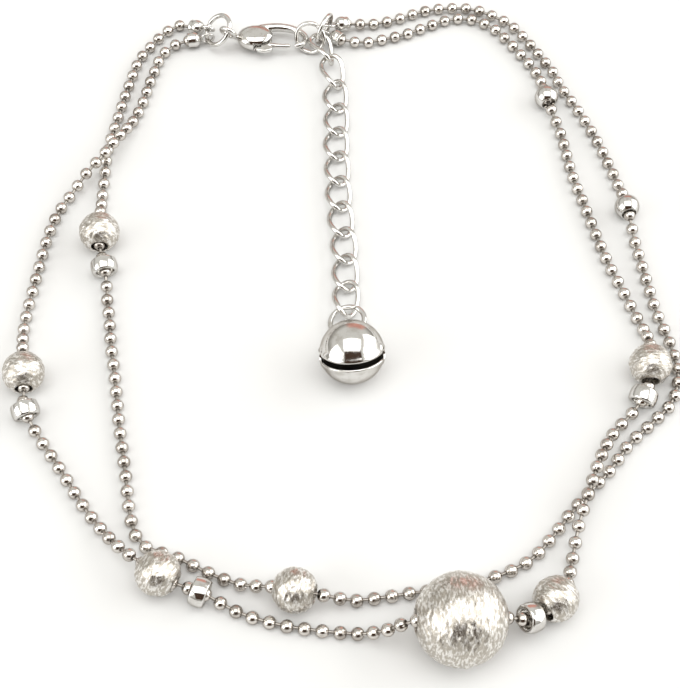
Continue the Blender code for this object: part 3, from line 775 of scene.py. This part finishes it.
def strand_mesh(name, route, sizes, seed):
    """Balls at an even pitch along the route, with a rod between each two."""
    shape = Shape()
    draw = random.Random(seed)
    count = round(route_length(route) / (sizes.pitch / MM)) + 1
    centres = smooth_route(route, count)
    for centre in centres:
        centre.z = max(centre.z, LOW)
    rows, faces = ball_shape(sizes)
    rod = sizes.rod_d / MM / 2
    for index, centre in enumerate(centres):
        ahead = centres[min(index + 1, count - 1)]
        behind = centres[max(index - 1, 0)]
        placement = way_matrix(centre, ahead - behind)
        roll = Matrix.Rotation(draw.uniform(0, 2 * math.pi), 4, "Z")
        shape.add(rows, faces, placement @ roll)
        if index + 1 < count:
            span = (ahead - centre).length
            profile = [
                (AXIS_R, 0.14 * span), (0.9 * rod, 0.15 * span), (rod, 0.3 * span), (0.9 * rod, 0.5 * span),
                (rod, 0.7 * span), (0.9 * rod, 0.85 * span), (AXIS_R, 0.86 * span),
            ]
            shape.add(*turned(profile, full_turn(10), False), way_matrix(centre, ahead - centre), 1)
    return shape.mesh(name)


def flecked_ball(name, diameter, bore, sizes, spacing, seed):
    """Bored ball about Z whose skin is brushed into short raised and sunk flecks."""
    radius = diameter / 2
    start = math.asin(bore / diameter)
    sides = int(2 * math.pi * radius / spacing)
    bands = int(radius * (math.pi - 2 * start) / spacing)
    polar = start + (math.pi - 2 * start) * np.arange(bands + 1) / bands
    around = 2 * math.pi * np.arange(sides) / sides
    polar_grid, around_grid = np.meshgrid(polar, around, indexing="ij")
    skin = radius * np.stack((
        np.sin(polar_grid) * np.cos(around_grid), np.sin(polar_grid) * np.sin(around_grid), np.cos(polar_grid)
    ), axis=-1).reshape(-1, 3)
    draw = np.random.default_rng(seed)
    long_half = sizes.fleck_length / MM
    wide_half = sizes.fleck_width / MM
    count = int(4 * math.pi * radius ** 2 / (long_half * wide_half * 3.2))
    heights = draw.uniform(-1, 1, count)
    centres = np.stack((np.sqrt(1 - heights ** 2), np.zeros(count), heights), axis=-1) * radius
    turns = draw.uniform(0, 2 * math.pi, count)
    tilts = draw.normal(0, 0.38, count)
    depths = draw.choice((-1.0, 1.0), count) * draw.uniform(0.4, 1.0, count) * sizes.fleck_depth / MM
    stretch = draw.uniform(0.6, 1.3, count)
    lift = np.zeros(len(skin))
    for index in range(count):
        cosine, sine = math.cos(turns[index]), math.sin(turns[index])
        centre = np.array((centres[index, 0] * cosine, centres[index, 0] * sine, centres[index, 2]))
        reach = 2.2 * long_half * stretch[index]
        first = np.searchsorted(-radius * np.cos(polar), -centre[2] - reach)
        last = np.searchsorted(-radius * np.cos(polar), -centre[2] + reach)
        block = slice(first * sides, last * sides)
        offset = skin[block] - centre
        round_way = np.array((-sine, cosine, 0.0))
        normal = centre / radius
        axis_way = np.cross(normal, round_way)
        along = math.cos(tilts[index]) * round_way + math.sin(tilts[index]) * axis_way
        across = np.cross(normal, along)
        u = offset @ along / (long_half * stretch[index])
        v = offset @ across / wide_half
        lift[block] += depths[index] * (0.6 + 0.8 * v) * np.exp(-u * u - v * v)
    from_rim = np.minimum(polar_grid - start, math.pi - start - polar_grid).reshape(-1) * radius
    fade = np.clip(from_rim / 0.2, 0, 1)
    skin = skin * (1 + (lift * fade - 0.01) / radius)[:, None]
    wall = 0.3
    inner = bore / 2 - 0.03
    reach = radius * math.cos(start)
    mouth = [(bore / 2 - 0.02, reach - 0.06), (inner, reach - wall), (inner, 0.0),
             (inner, wall - reach), (bore / 2 - 0.02, 0.06 - reach)]
    rows = skin.tolist()
    for bore_radius, height in reversed(mouth):
        for angle in around:
            rows.append((bore_radius * math.cos(angle), bore_radius * math.sin(angle), height))
    shape = Shape()
    shape.add(rows, grid_faces(bands + 1 + len(mouth), sides, True))
    return shape.mesh(name)


def polished_ball(diameter, bore):
    """Smooth bored ball with softly rounded mouths."""
    radius = diameter / 2
    edge = 0.07
    start = math.asin((bore / 2 + edge) / radius)
    profile = []
    for step in range(31):
        angle = start + (math.pi - 2 * start) * step / 30
        profile.append((radius * math.sin(angle), radius * math.cos(angle)))
    reach = radius * math.cos(start)
    corner = [(bore / 2 + 0.02, reach - 0.02), (bore / 2, reach - edge), (bore / 2, 0.4 * reach)]
    profile += [(r, -z) for r, z in corner] + [(r, z) for r, z in reversed(corner)]
    return turned(profile, full_turn(56), True)


def stopper_shape(diameter, bore):
    """Short tube with a slight belly and rounded rims."""
    outer = diameter / 2
    inner = bore / 2
    half = STOPPER_LENGTH / 2
    rim = (outer - inner) / 2
    belly = 0.07
    profile = []
    for step in range(13):
        share = 1 - 2 * step / 12
        profile.append((outer - belly * share * share, share * (half - rim)))
    lower = []
    for turn in range(15, 180, 15):
        angle = math.radians(turn)
        reach = rim - belly * (1 + math.cos(angle)) / 4
        lower.append((
            inner + rim - belly / 2 + reach * math.cos(angle), rim - half - rim * math.sin(angle)
        ))
    profile += lower
    for step in range(9):
        profile.append((inner, (half - rim) * (2 * step / 8 - 1)))
    profile += [(radius, -height) for radius, height in reversed(lower)]
    return turned(profile, full_turn(56), True)


def cup_shape(sizes):
    """Open cup about Z, mouth up, with its wall turned in at the rim."""
    outer = sizes.cup_d / MM / 2
    wall = sizes.cup_wall / MM
    profile = [(AXIS_R, -outer)]
    for turn in range(10, 111, 10):
        angle = math.radians(turn)
        profile.append((outer * math.sin(angle), -outer * math.cos(angle)))
    profile += [
        (0.95 * outer, 0.62 * outer), (0.97 * outer, 0.74 * outer), (0.93 * outer, 0.8 * outer),
        (0.95 * outer - wall, 0.78 * outer), (outer - wall - 0.04, 0.5 * outer),
    ]
    for turn in range(90, 0, -15):
        angle = math.radians(turn)
        profile.append(((outer - wall) * math.sin(angle), -(outer - wall) * math.cos(angle) + 0.1))
    profile.append((AXIS_R, 0.1 - outer + wall))
    return turned(profile, full_turn(40), False)


def bell_shape(sizes):
    """Shell of the bell: two caps that join at the back and leave a slot with round ends in front."""
    radius = BELL_D / 2
    wall = sizes.wall / MM
    slot_half = sizes.slot / MM / 2 / radius
    hole_half = sizes.hole / MM / 2 / radius
    lip = sizes.lip / MM
    forward = math.asin(sizes.hole_front / MM / radius)
    front_start = math.pi + forward - hole_half
    front_end = 2 * math.pi - forward + hole_half
    first = front_start + HOLE_END_SHARE * hole_half
    last = front_end - HOLE_END_SHARE * hole_half
    opening = [front_start] + [front_start + hole_half * share for share in HOLE_SHARES]
    opening += [first + (last - first) * step / 60 for step in range(61)]
    opening += [front_end - hole_half * share for share in reversed(HOLE_SHARES)] + [front_end]
    back = [front_end + (2 * math.pi - (front_end - front_start)) * step / 50 for step in range(1, 50)]
    columns = opening + back
    rim_steps = 8
    bands = 30
    shape = Shape()
    for sign in (1, -1):
        rows = []
        for angle in columns:
            to_hole = min(abs(angle - front_start - hole_half), abs(angle - front_end + hole_half))
            near = max(0.0, 1 - (to_hole / hole_half) ** 2)
            edge = max(hole_half * math.sqrt(near), slot_half if first <= angle <= last else 0.0)
            is_open = front_start < angle < front_end
            blend = min(1.0, edge / slot_half) if is_open else 0.0
            turn_in = blend * wall / 2 / radius
            rest = (edge + turn_in) if is_open else 0.0
            skin = []
            for step in range(bands + 1):
                latitude = math.pi / 2 - (math.pi / 2 - rest) * (1 - (1 - step / bands) ** CROWDING)
                away = (latitude - rest) * radius / LIP_WIDTH
                skin.append((latitude, radius - lip + blend * lip * 2 * math.exp(-away * away)))
            column = list(skin)
            for step in range(1, rim_steps):
                angle_in = math.pi * step / rim_steps
                height = skin[-1][1] - wall / 2 + wall / 2 * math.cos(angle_in)
                column.append((rest - turn_in * math.sin(angle_in), height))
            column += [(latitude, distance - wall) for latitude, distance in reversed(skin)]
            for latitude, distance in column:
                flat = distance * math.cos(latitude)
                above = sign * distance * math.sin(latitude)
                rows.append((flat * math.cos(angle), flat * math.sin(angle), above))
        per_column = len(rows) // len(columns)
        faces = []
        for index in range(len(columns)):
            following = (index + 1) % len(columns)
            is_open = index < len(opening) - 1
            for step in range(per_column - 1):
                on_rim = bands <= step < bands + rim_steps
                if on_rim and not is_open:
                    continue
                faces.append((
                    index * per_column + step, index * per_column + step + 1,
                    following * per_column + step + 1, following * per_column + step,
                ))
        shape.add(rows, faces)
    return shape, radius - wall - lip


def world_panel(tree, way, centre, half_wide, half_high, soft):
    """Factor that is one inside a rectangle of the surroundings around the centre direction."""
    centre = Vector(centre).normalized()
    side = Vector((0, 0, 1)).cross(centre)
    side = side.normalized() if side.length > 0.05 else Vector((1, 0, 0))
    up = centre.cross(side)
    parts = []
    for axis in (centre, side, up):
        node = tree.nodes.new("ShaderNodeVectorMath")
        node.operation = "DOT_PRODUCT"
        tree.links.new(way, node.inputs[0])
        node.inputs[1].default_value = axis
        parts.append(node.outputs["Value"])
    ahead = calculate(tree, "GREATER_THAN", parts[0], 0.02)
    across = calculate(tree, "ABSOLUTE", calculate(tree, "DIVIDE", parts[1], parts[0]))
    above = calculate(tree, "ABSOLUTE", calculate(tree, "DIVIDE", parts[2], parts[0]))
    wide = ranged(tree, across, half_wide - soft, half_wide + soft, 1.0, 0.0)
    high = ranged(tree, above, half_high - soft, half_high + soft, 1.0, 0.0)
    return calculate(tree, "MULTIPLY", ahead, calculate(tree, "MULTIPLY", wide, high))


def light_world(stage):
    """Pale room with three soft white panels, a darker side in front and a warm strip behind."""
    world = bpy.data.worlds.new("soft_room")
    bpy.context.scene.world = world
    world.use_nodes = True
    tree = world.node_tree
    background = tree.nodes["Background"]
    way = tree.nodes.new("ShaderNodeTexCoord").outputs["Generated"]
    split = tree.nodes.new("ShaderNodeSeparateXYZ")
    tree.links.new(way, split.inputs["Vector"])
    height = ranged(tree, split.outputs["Z"], 0.0, 0.45, 0.0, 1.0)
    colour = blend_colours(tree, height, stage.horizon, stage.sky)
    warm = world_panel(tree, way, (0.15, 1.0, 0.22), 0.30, 0.26, 0.12)
    colour = blend_colours(tree, warm, colour, stage.warm)
    dark = world_panel(tree, way, (0.06, -0.80, 0.60), 0.58, 0.47, 0.05)
    colour = blend_colours(tree, dark, colour, stage.dark)
    bright = (stage.panels, stage.panels, 0.985 * stage.panels)
    for centre, half_wide, half_high in (
        ((0.0, -0.14, 0.99), 0.56, 0.42),
        ((0.89, 0.10, 0.42), 0.64, 0.44),
        ((-0.84, -0.36, 0.40), 0.38, 0.36),
    ):
        panel = world_panel(tree, way, centre, half_wide, half_high, 0.03)
        colour = blend_colours(tree, panel, colour, bright)
    tree.links.new(colour, background.inputs["Color"])
    background.inputs["Strength"].default_value = 1.0


def floor_material(stage):
    material = bpy.data.materials.new("pale_floor")
    material.use_nodes = True
    tree = material.node_tree
    shader = tree.nodes["Principled BSDF"]
    shader.inputs["Roughness"].default_value = 0.7
    shader.inputs["Specular IOR Level"].default_value = 0.2
    paper = grain_noise(tree, (1, 1, 1), 300.0, 3)
    darker = tuple(0.985 * part for part in stage.floor)
    tree.links.new(blend_colours(tree, paper, stage.floor, darker), shader.inputs["Base Color"])
    return material


class ANKLET_OT_strands(bpy.types.Operator):
    """Make the two strands of ball chain"""

    bl_idname = "anklet.strands"
    bl_label = "Ball Chain Strands"

    def execute(self, context):
        sizes = context.scene.anklet_chain
        finishes = context.scene.anklet_finishes
        # The rods' dark colour is painted shade between the balls, over a rougher, duller rod finish.
        rods = metal("chain_rod_dull_painted_shade", finishes.rod, finishes.rod, finishes.chain_edge, 0.3, 0.4,
                     900.0, ((1, 1, 1), 4000.0), (0.1, 0.01))
        for seed, (name, route, node) in enumerate((
            ("ball_chain_outer", STRAND_OUTER, "strand_outer"),
            ("ball_chain_inner", STRAND_INNER, "strand_inner"),
        )):
            add_piece(name, strand_mesh(name, route, sizes, seed), Matrix.Identity(4),
                      [chain_material(finishes), rods], "silver", "loop", node)
        return {"FINISHED"}


class ANKLET_OT_frosted_beads(bpy.types.Operator):
    """Make the six small frosted beads and the big one"""

    bl_idname = "anklet.frosted_beads"
    bl_label = "Frosted Beads"

    def execute(self, context):
        sizes = context.scene.anklet_beads
        material = frosted_material(context.scene.anklet_finishes)
        small = flecked_ball("small_bead", BEAD_D, sizes.small_bore / MM, sizes, SMALL_SPACING,
                             sizes.seed)
        for index, (letter, seat) in enumerate((
            ("a", SEAT_A), ("b", SEAT_B), ("c", SEAT_C), ("d", SEAT_D), ("f", SEAT_F), ("g", SEAT_G)
        )):
            placement = way_matrix(*seat) @ Matrix.Rotation(BEAD_TURN * index, 4, "Z")
            add_piece("frosted_bead_" + letter, small.copy(), placement, [material],
                      "frosted_silver", "loop", "bead_" + letter)
        bpy.data.meshes.remove(small)
        big = flecked_ball("big_bead", BIG_BEAD_D, sizes.big_bore / MM, sizes, BIG_SPACING,
                           sizes.seed + 1)
        add_piece("frosted_bead_big", big, way_matrix(*SEAT_BIG), [material],
                  "frosted_silver", "loop", "bead_big")
        return {"FINISHED"}


class ANKLET_OT_polished_beads(bpy.types.Operator):
    """Make the two small polished beads"""

    bl_idname = "anklet.polished_beads"
    bl_label = "Polished Beads"

    def execute(self, context):
        material = silver_material(context.scene.anklet_finishes)
        bore = context.scene.anklet_beads.polished_bore / MM
        for name, seat in (("h1", SEAT_H1), ("h2", SEAT_H2)):
            shape = Shape()
            shape.add(*polished_ball(POLISHED_D, bore))
            add_piece("polished_bead_" + name, shape.mesh("polished_bead"), way_matrix(*seat),
                      [material], "silver", "loop", "bead_" + name)
        return {"FINISHED"}


class ANKLET_OT_stoppers(bpy.types.Operator):
    """Make the five stopper rings beside the beads"""

    bl_idname = "anklet.stoppers"
    bl_label = "Stopper Rings"

    def execute(self, context):
        material = silver_material(context.scene.anklet_finishes)
        sizes = context.scene.anklet_beads
        for letter, seat in (("a", STOP_A), ("b", STOP_B), ("c", STOP_C), ("f", STOP_F), ("g", STOP_G)):
            shape = Shape()
            shape.add(*stopper_shape(sizes.stopper_d / MM, sizes.stopper_bore / MM))
            add_piece("stopper_ring_" + letter, shape.mesh("stopper_ring"), way_matrix(*seat),
                      [material], "silver", "loop", "stopper_" + letter)
        return {"FINISHED"}


class ANKLET_OT_end_cups(bpy.types.Operator):
    """Make the four end cups with their eyes"""

    bl_idname = "anklet.end_cups"
    bl_label = "End Cups"

    def execute(self, context):
        material = silver_material(context.scene.anklet_finishes)
        sizes = context.scene.anklet_wires
        for name, cup in (
            ("left_outer", CUP_LEFT_OUTER), ("left_inner", CUP_LEFT_INNER),
            ("right_outer", CUP_RIGHT_OUTER), ("right_inner", CUP_RIGHT_INNER),
        ):
            shape = Shape()
            shape.add(*ring_shape(CUP_EYE_D, sizes.cup_wire / MM, 48, 12))
            toward = Matrix.Translation((CUP_REACH, 0, 0)) @ Matrix.Rotation(math.pi / 2, 4, "Y")
            shape.add(*cup_shape(sizes), toward)
            add_piece("end_cup_" + name, shape.mesh("end_cup"), axes_matrix(*cup),
                      [material], "silver", "loop", "cup_" + name)
        return {"FINISHED"}


class ANKLET_OT_rings(bpy.types.Operator):
    """Make the four jump rings, each with its cut"""

    bl_idname = "anklet.rings"
    bl_label = "Jump Rings"

    def execute(self, context):
        material = silver_material(context.scene.anklet_finishes)
        for name, ring in (
            ("left", RING_LEFT), ("clasp", RING_CLASP), ("right", RING_RIGHT), ("bell", RING_BELL)
        ):
            centre, axis, line_d, wire_d, cut = ring
            shape = Shape()
            shape.add(*cut_ring_shape(line_d, wire_d, cut))
            add_piece("jump_ring_" + name, shape.mesh("jump_ring"), way_matrix(centre, axis),
                      [material], "silver", "loop", "ring_" + name)
        return {"FINISHED"}


class ANKLET_OT_links(bpy.types.Operator):
    """Make the eleven curb links of the extender"""

    bl_idname = "anklet.links"
    bl_label = "Extender Links"

    def execute(self, context):
        material = silver_material(context.scene.anklet_finishes)
        wire = context.scene.anklet_wires.link_wire / MM
        path = []
        for angle in full_turn(96):
            path.append(Vector((
                LINK_LENGTH / 2 * math.cos(angle), LINK_WIDTH / 2 * math.sin(angle),
                LINK_SADDLE * math.sin(2 * angle),
            )))
        places = [LINK_FIRST, LINK_SECOND]
        route = smooth_route([(x, y, 0) for x, y in EXTENDER_ROUTE], FLOOR_LINKS + 2)
        for index in range(1, FLOOR_LINKS + 1):
            along = route[index + 1] - route[index - 1]
            places.append(((route[index].x, route[index].y, LINK_LEVEL), tuple(along), (0, 0, 1)))
        places.append(LINK_LAST)
        for index, (centre, along, up) in enumerate(places):
            shape = Shape()
            shape.add(*sweep(path, [wire / 2] * len(path), 16, True))
            number = "%02d" % (index + 1)
            add_piece("curb_link_" + number, shape.mesh("curb_link"), axes_matrix(centre, along, up),
                      [material], "silver", "loop", "link_" + number)
        return {"FINISHED"}


class ANKLET_OT_clasp_body(bpy.types.Operator):
    """Make the clasp's cast body with its hook, tail eye and pin"""

    bl_idname = "anklet.clasp_body"
    bl_label = "Clasp Body"

    def execute(self, context):
        sizes = context.scene.anklet_clasp
        thick = sizes.thick / MM
        gap = sizes.gap / MM
        wire = sizes.wire / MM / 2
        room = thick / 2 - sizes.cheek / MM
        body_at = Matrix.Translation((*CLASP_BODY_AT, 0))
        pivot = Matrix.Translation(CLASP_PIVOT)
        shape = Shape()
        shape.add(*pebble_shape(sizes.body_length / MM, sizes.body_width / MM, thick + CLASP_DOME,
                                CLASP_FULLNESS), body_at)
        shape.add(*rod_shape(CLASP_HOOK, [share * wire for share in HOOK_TAPER]))
        reach = BOSS_R + gap
        slot = Shape()
        slot.add(*box_shape((-reach, -3 * reach, -room), (3.2 * reach, reach, room)))
        mesh = fused("clasp_body_cast", shape, sizes.grain / MM, slot)
        material = silver_material(context.scene.anklet_finishes)
        tail = Shape()
        eye_at = pivot.inverted() @ axes_matrix(CLASP_TAIL_EYE[0], CLASP_TAIL_LONG, CLASP_TAIL_EYE[1])
        tail.add(*ring_shape(CLASP_TAIL_D, CLASP_TAIL_WIRE), eye_at)
        start = eye_at @ Vector((CLASP_TAIL_D / 2, 0, 0))
        end = body_at @ Vector(CLASP_NECK_END)
        span = end - start
        neck_at = axes_matrix(start, span, span.cross(Vector((0, 1, 0))))
        neck = [(0, 0), (span.length / 2, 0), (span.length, 0)]
        tail.add(*rod_shape(neck, [0.85 * wire, wire, 1.2 * wire]), neck_at)
        pin_r = sizes.pin_d / MM / 2
        pin = [(AXIS_R, -thick / 2 - 0.03), (pin_r - 0.05, -thick / 2 - 0.03), (pin_r, -thick / 2 + 0.02)]
        pin += [(radius, -height) for radius, height in reversed(pin)]
        tail.add(*turned(pin, full_turn(32), False))
        take_in(mesh, tail.mesh("clasp_tail"))
        add_piece("clasp_body_cast", mesh, pivot, [material], "silver", "loop", "clasp_body")
        return {"FINISHED"}


class ANKLET_OT_clasp_lever(bpy.types.Operator):
    """Make the clasp's lever with its thumb tab"""

    bl_idname = "anklet.clasp_lever"
    bl_label = "Clasp Lever"

    def execute(self, context):
        sizes = context.scene.anklet_clasp
        thick = sizes.thick / MM - 2 * sizes.cheek / MM - 2 * sizes.gap / MM
        hole = sizes.pin_d / MM / 2 + sizes.gap / MM
        boss = [
            (BOSS_R - 0.05, -thick / 2), (BOSS_R, 0.06 - thick / 2),
            (BOSS_R, thick / 2 - 0.06), (BOSS_R - 0.05, thick / 2),
            (hole, thick / 2), (hole, -thick / 2),
        ]
        shape = Shape()
        shape.add(*turned(boss, full_turn(48), True))
        shape.add(*rod_shape(CLASP_LEVER, [thick / 2, thick / 2, 0.9 * thick / 2]))
        shape.add(*oval_shape(*TAB_SIZE, 0.9 * thick, TAB_RIM), Matrix.Translation(TAB_AT))
        mesh = fused("clasp_lever_cast", shape, 0.8 * sizes.grain / MM)
        material = silver_material(context.scene.anklet_finishes)
        add_piece("clasp_lever_cast", mesh, Matrix.Translation(CLASP_PIVOT), [material],
                  "silver", "lever", "clasp_lever")
        return {"FINISHED"}


class ANKLET_OT_bell(bpy.types.Operator):
    """Make the hollow bell with its slot and eye"""

    bl_idname = "anklet.bell"
    bl_label = "Bell"

    def execute(self, context):
        sizes = context.scene.anklet_bell
        finishes = context.scene.anklet_finishes
        front = Vector(BELL_SLOT_WAY).normalized()
        placement = axes_matrix(BELL_CENTRE, (1, 0, 0), Vector((1, 0, 0)).cross(-front))
        placement = placement @ Matrix.Rotation(math.radians(BELL_ROLL_DEG), 4, "Y")
        shape, inner = bell_shape(sizes)
        mesh = shape.mesh("slotted_bell", 1.0)
        tool = bmesh.new()
        tool.from_mesh(mesh)
        bmesh.ops.remove_doubles(tool, verts=tool.verts, dist=0.0005)
        bmesh.ops.recalc_face_normals(tool, faces=tool.faces)
        tool.to_mesh(mesh)
        tool.free()
        # Faces of the inner wall and the inner part of the slot's rim get the painted shade of the inside.
        painted_shade_reach = inner + PAINTED_SHADE_SHARE * sizes.wall / MM
        for face in mesh.polygons:
            face.material_index = 1 if face.center.length < painted_shade_reach else 0
        to_bell = Vector(BELL_CENTRE) - Vector(BELL_EYE_CENTRE)
        sideways = Vector((1, 0, 0))
        sideways = sideways - to_bell * to_bell.dot(sideways) / to_bell.length_squared
        eye_at = placement.inverted() @ axes_matrix(BELL_EYE_CENTRE, to_bell, sideways)
        eye = Shape()
        eye.add(*ring_shape(BELL_EYE_D, sizes.eye_wire / MM), eye_at)
        take_in(mesh, eye.mesh("bell_eye", 1.0))
        mesh.transform(Matrix.Scale(MM, 4))
        make_smooth(mesh)
        # The inside finish is painted shade: dark, rough metal in place of the shade in the hollow.
        inside = metal("bell_inside_painted_shade", finishes.inside, finishes.inside, finishes.edge, 0.45, 0.6,
                       900.0, ((1, 1, 1), 4000.0), (0.2, 0.02))
        add_piece("slotted_bell", mesh, placement, [silver_material(finishes), inside],
                  "silver", "loop", "bell")
        return {"FINISHED"}


class ANKLET_OT_stage(bpy.types.Operator):
    """Make the pale floor, the soft light and the camera"""

    bl_idname = "anklet.stage"
    bl_label = "Floor, Light and Camera"

    def execute(self, context):
        scene = context.scene
        stage = scene.anklet_stage
        half = stage.floor_size / 2
        drop = -FLOOR_DROP
        mesh = bpy.data.meshes.new("pale_floor")
        mesh.from_pydata(
            [(-half, -half, drop), (half, -half, drop), (half, half, drop), (-half, half, drop)],
            [], [(0, 1, 2, 3)],
        )
        mesh.materials.append(floor_material(stage))
        floor = bpy.data.objects.new("pale_floor", mesh)
        scene.collection.objects.link(floor)
        light_world(stage)
        camera = bpy.data.cameras.new("photo_view")
        camera.lens = stage.lens
        camera.sensor_width = SENSOR_WIDTH
        camera.clip_start = CAMERA_NEAR
        holder = bpy.data.objects.new("photo_view", camera)
        scene.collection.objects.link(holder)
        place = Vector(CAMERA_AT) * MM
        aim = Vector(CAMERA_AIM) * MM
        turn = (aim - place).to_track_quat("-Z", "Y").to_matrix().to_4x4()
        holder.matrix_world = Matrix.Translation(place) @ turn
        scene.camera = holder
        scene.view_settings.view_transform = "Standard"
        return {"FINISHED"}


OPERATORS = (
    ANKLET_OT_strands, ANKLET_OT_frosted_beads, ANKLET_OT_polished_beads, ANKLET_OT_stoppers,
    ANKLET_OT_end_cups, ANKLET_OT_rings, ANKLET_OT_links, ANKLET_OT_clasp_body,
    ANKLET_OT_clasp_lever, ANKLET_OT_bell, ANKLET_OT_stage,
)


class ANKLET_PT_sidebar(bpy.types.Panel):
    """Sizes, colours and makers of the anklet's pieces"""

    bl_idname = "ANKLET_PT_sidebar"
    bl_label = "Ball Chain Anklet"
    bl_space_type = "VIEW_3D"
    bl_region_type = "UI"
    bl_category = "Anklet"

    def draw(self, context):
        for attribute, group in GROUPS:
            box = self.layout.box()
            for name in group.__annotations__:
                box.prop(getattr(context.scene, attribute), name)
        for operator in OPERATORS:
            self.layout.operator(operator.bl_idname)


def register():
    for attribute, group in GROUPS:
        bpy.utils.register_class(group)
        setattr(bpy.types.Scene, attribute, PointerProperty(type=group))
    for operator in OPERATORS:
        bpy.utils.register_class(operator)
    bpy.utils.register_class(ANKLET_PT_sidebar)


def unregister():
    bpy.utils.unregister_class(ANKLET_PT_sidebar)
    for operator in reversed(OPERATORS):
        bpy.utils.unregister_class(operator)
    for attribute, group in reversed(GROUPS):
        delattr(bpy.types.Scene, attribute)
        bpy.utils.unregister_class(group)


def main():
    register()
    bpy.ops.anklet.strands()
    bpy.ops.anklet.frosted_beads()
    bpy.ops.anklet.polished_beads()
    bpy.ops.anklet.stoppers()
    bpy.ops.anklet.end_cups()
    bpy.ops.anklet.rings()
    bpy.ops.anklet.links()
    bpy.ops.anklet.clasp_body()
    bpy.ops.anklet.clasp_lever()
    bpy.ops.anklet.bell()
    bpy.ops.anklet.stage()


if __name__ == "__main__":
    main()
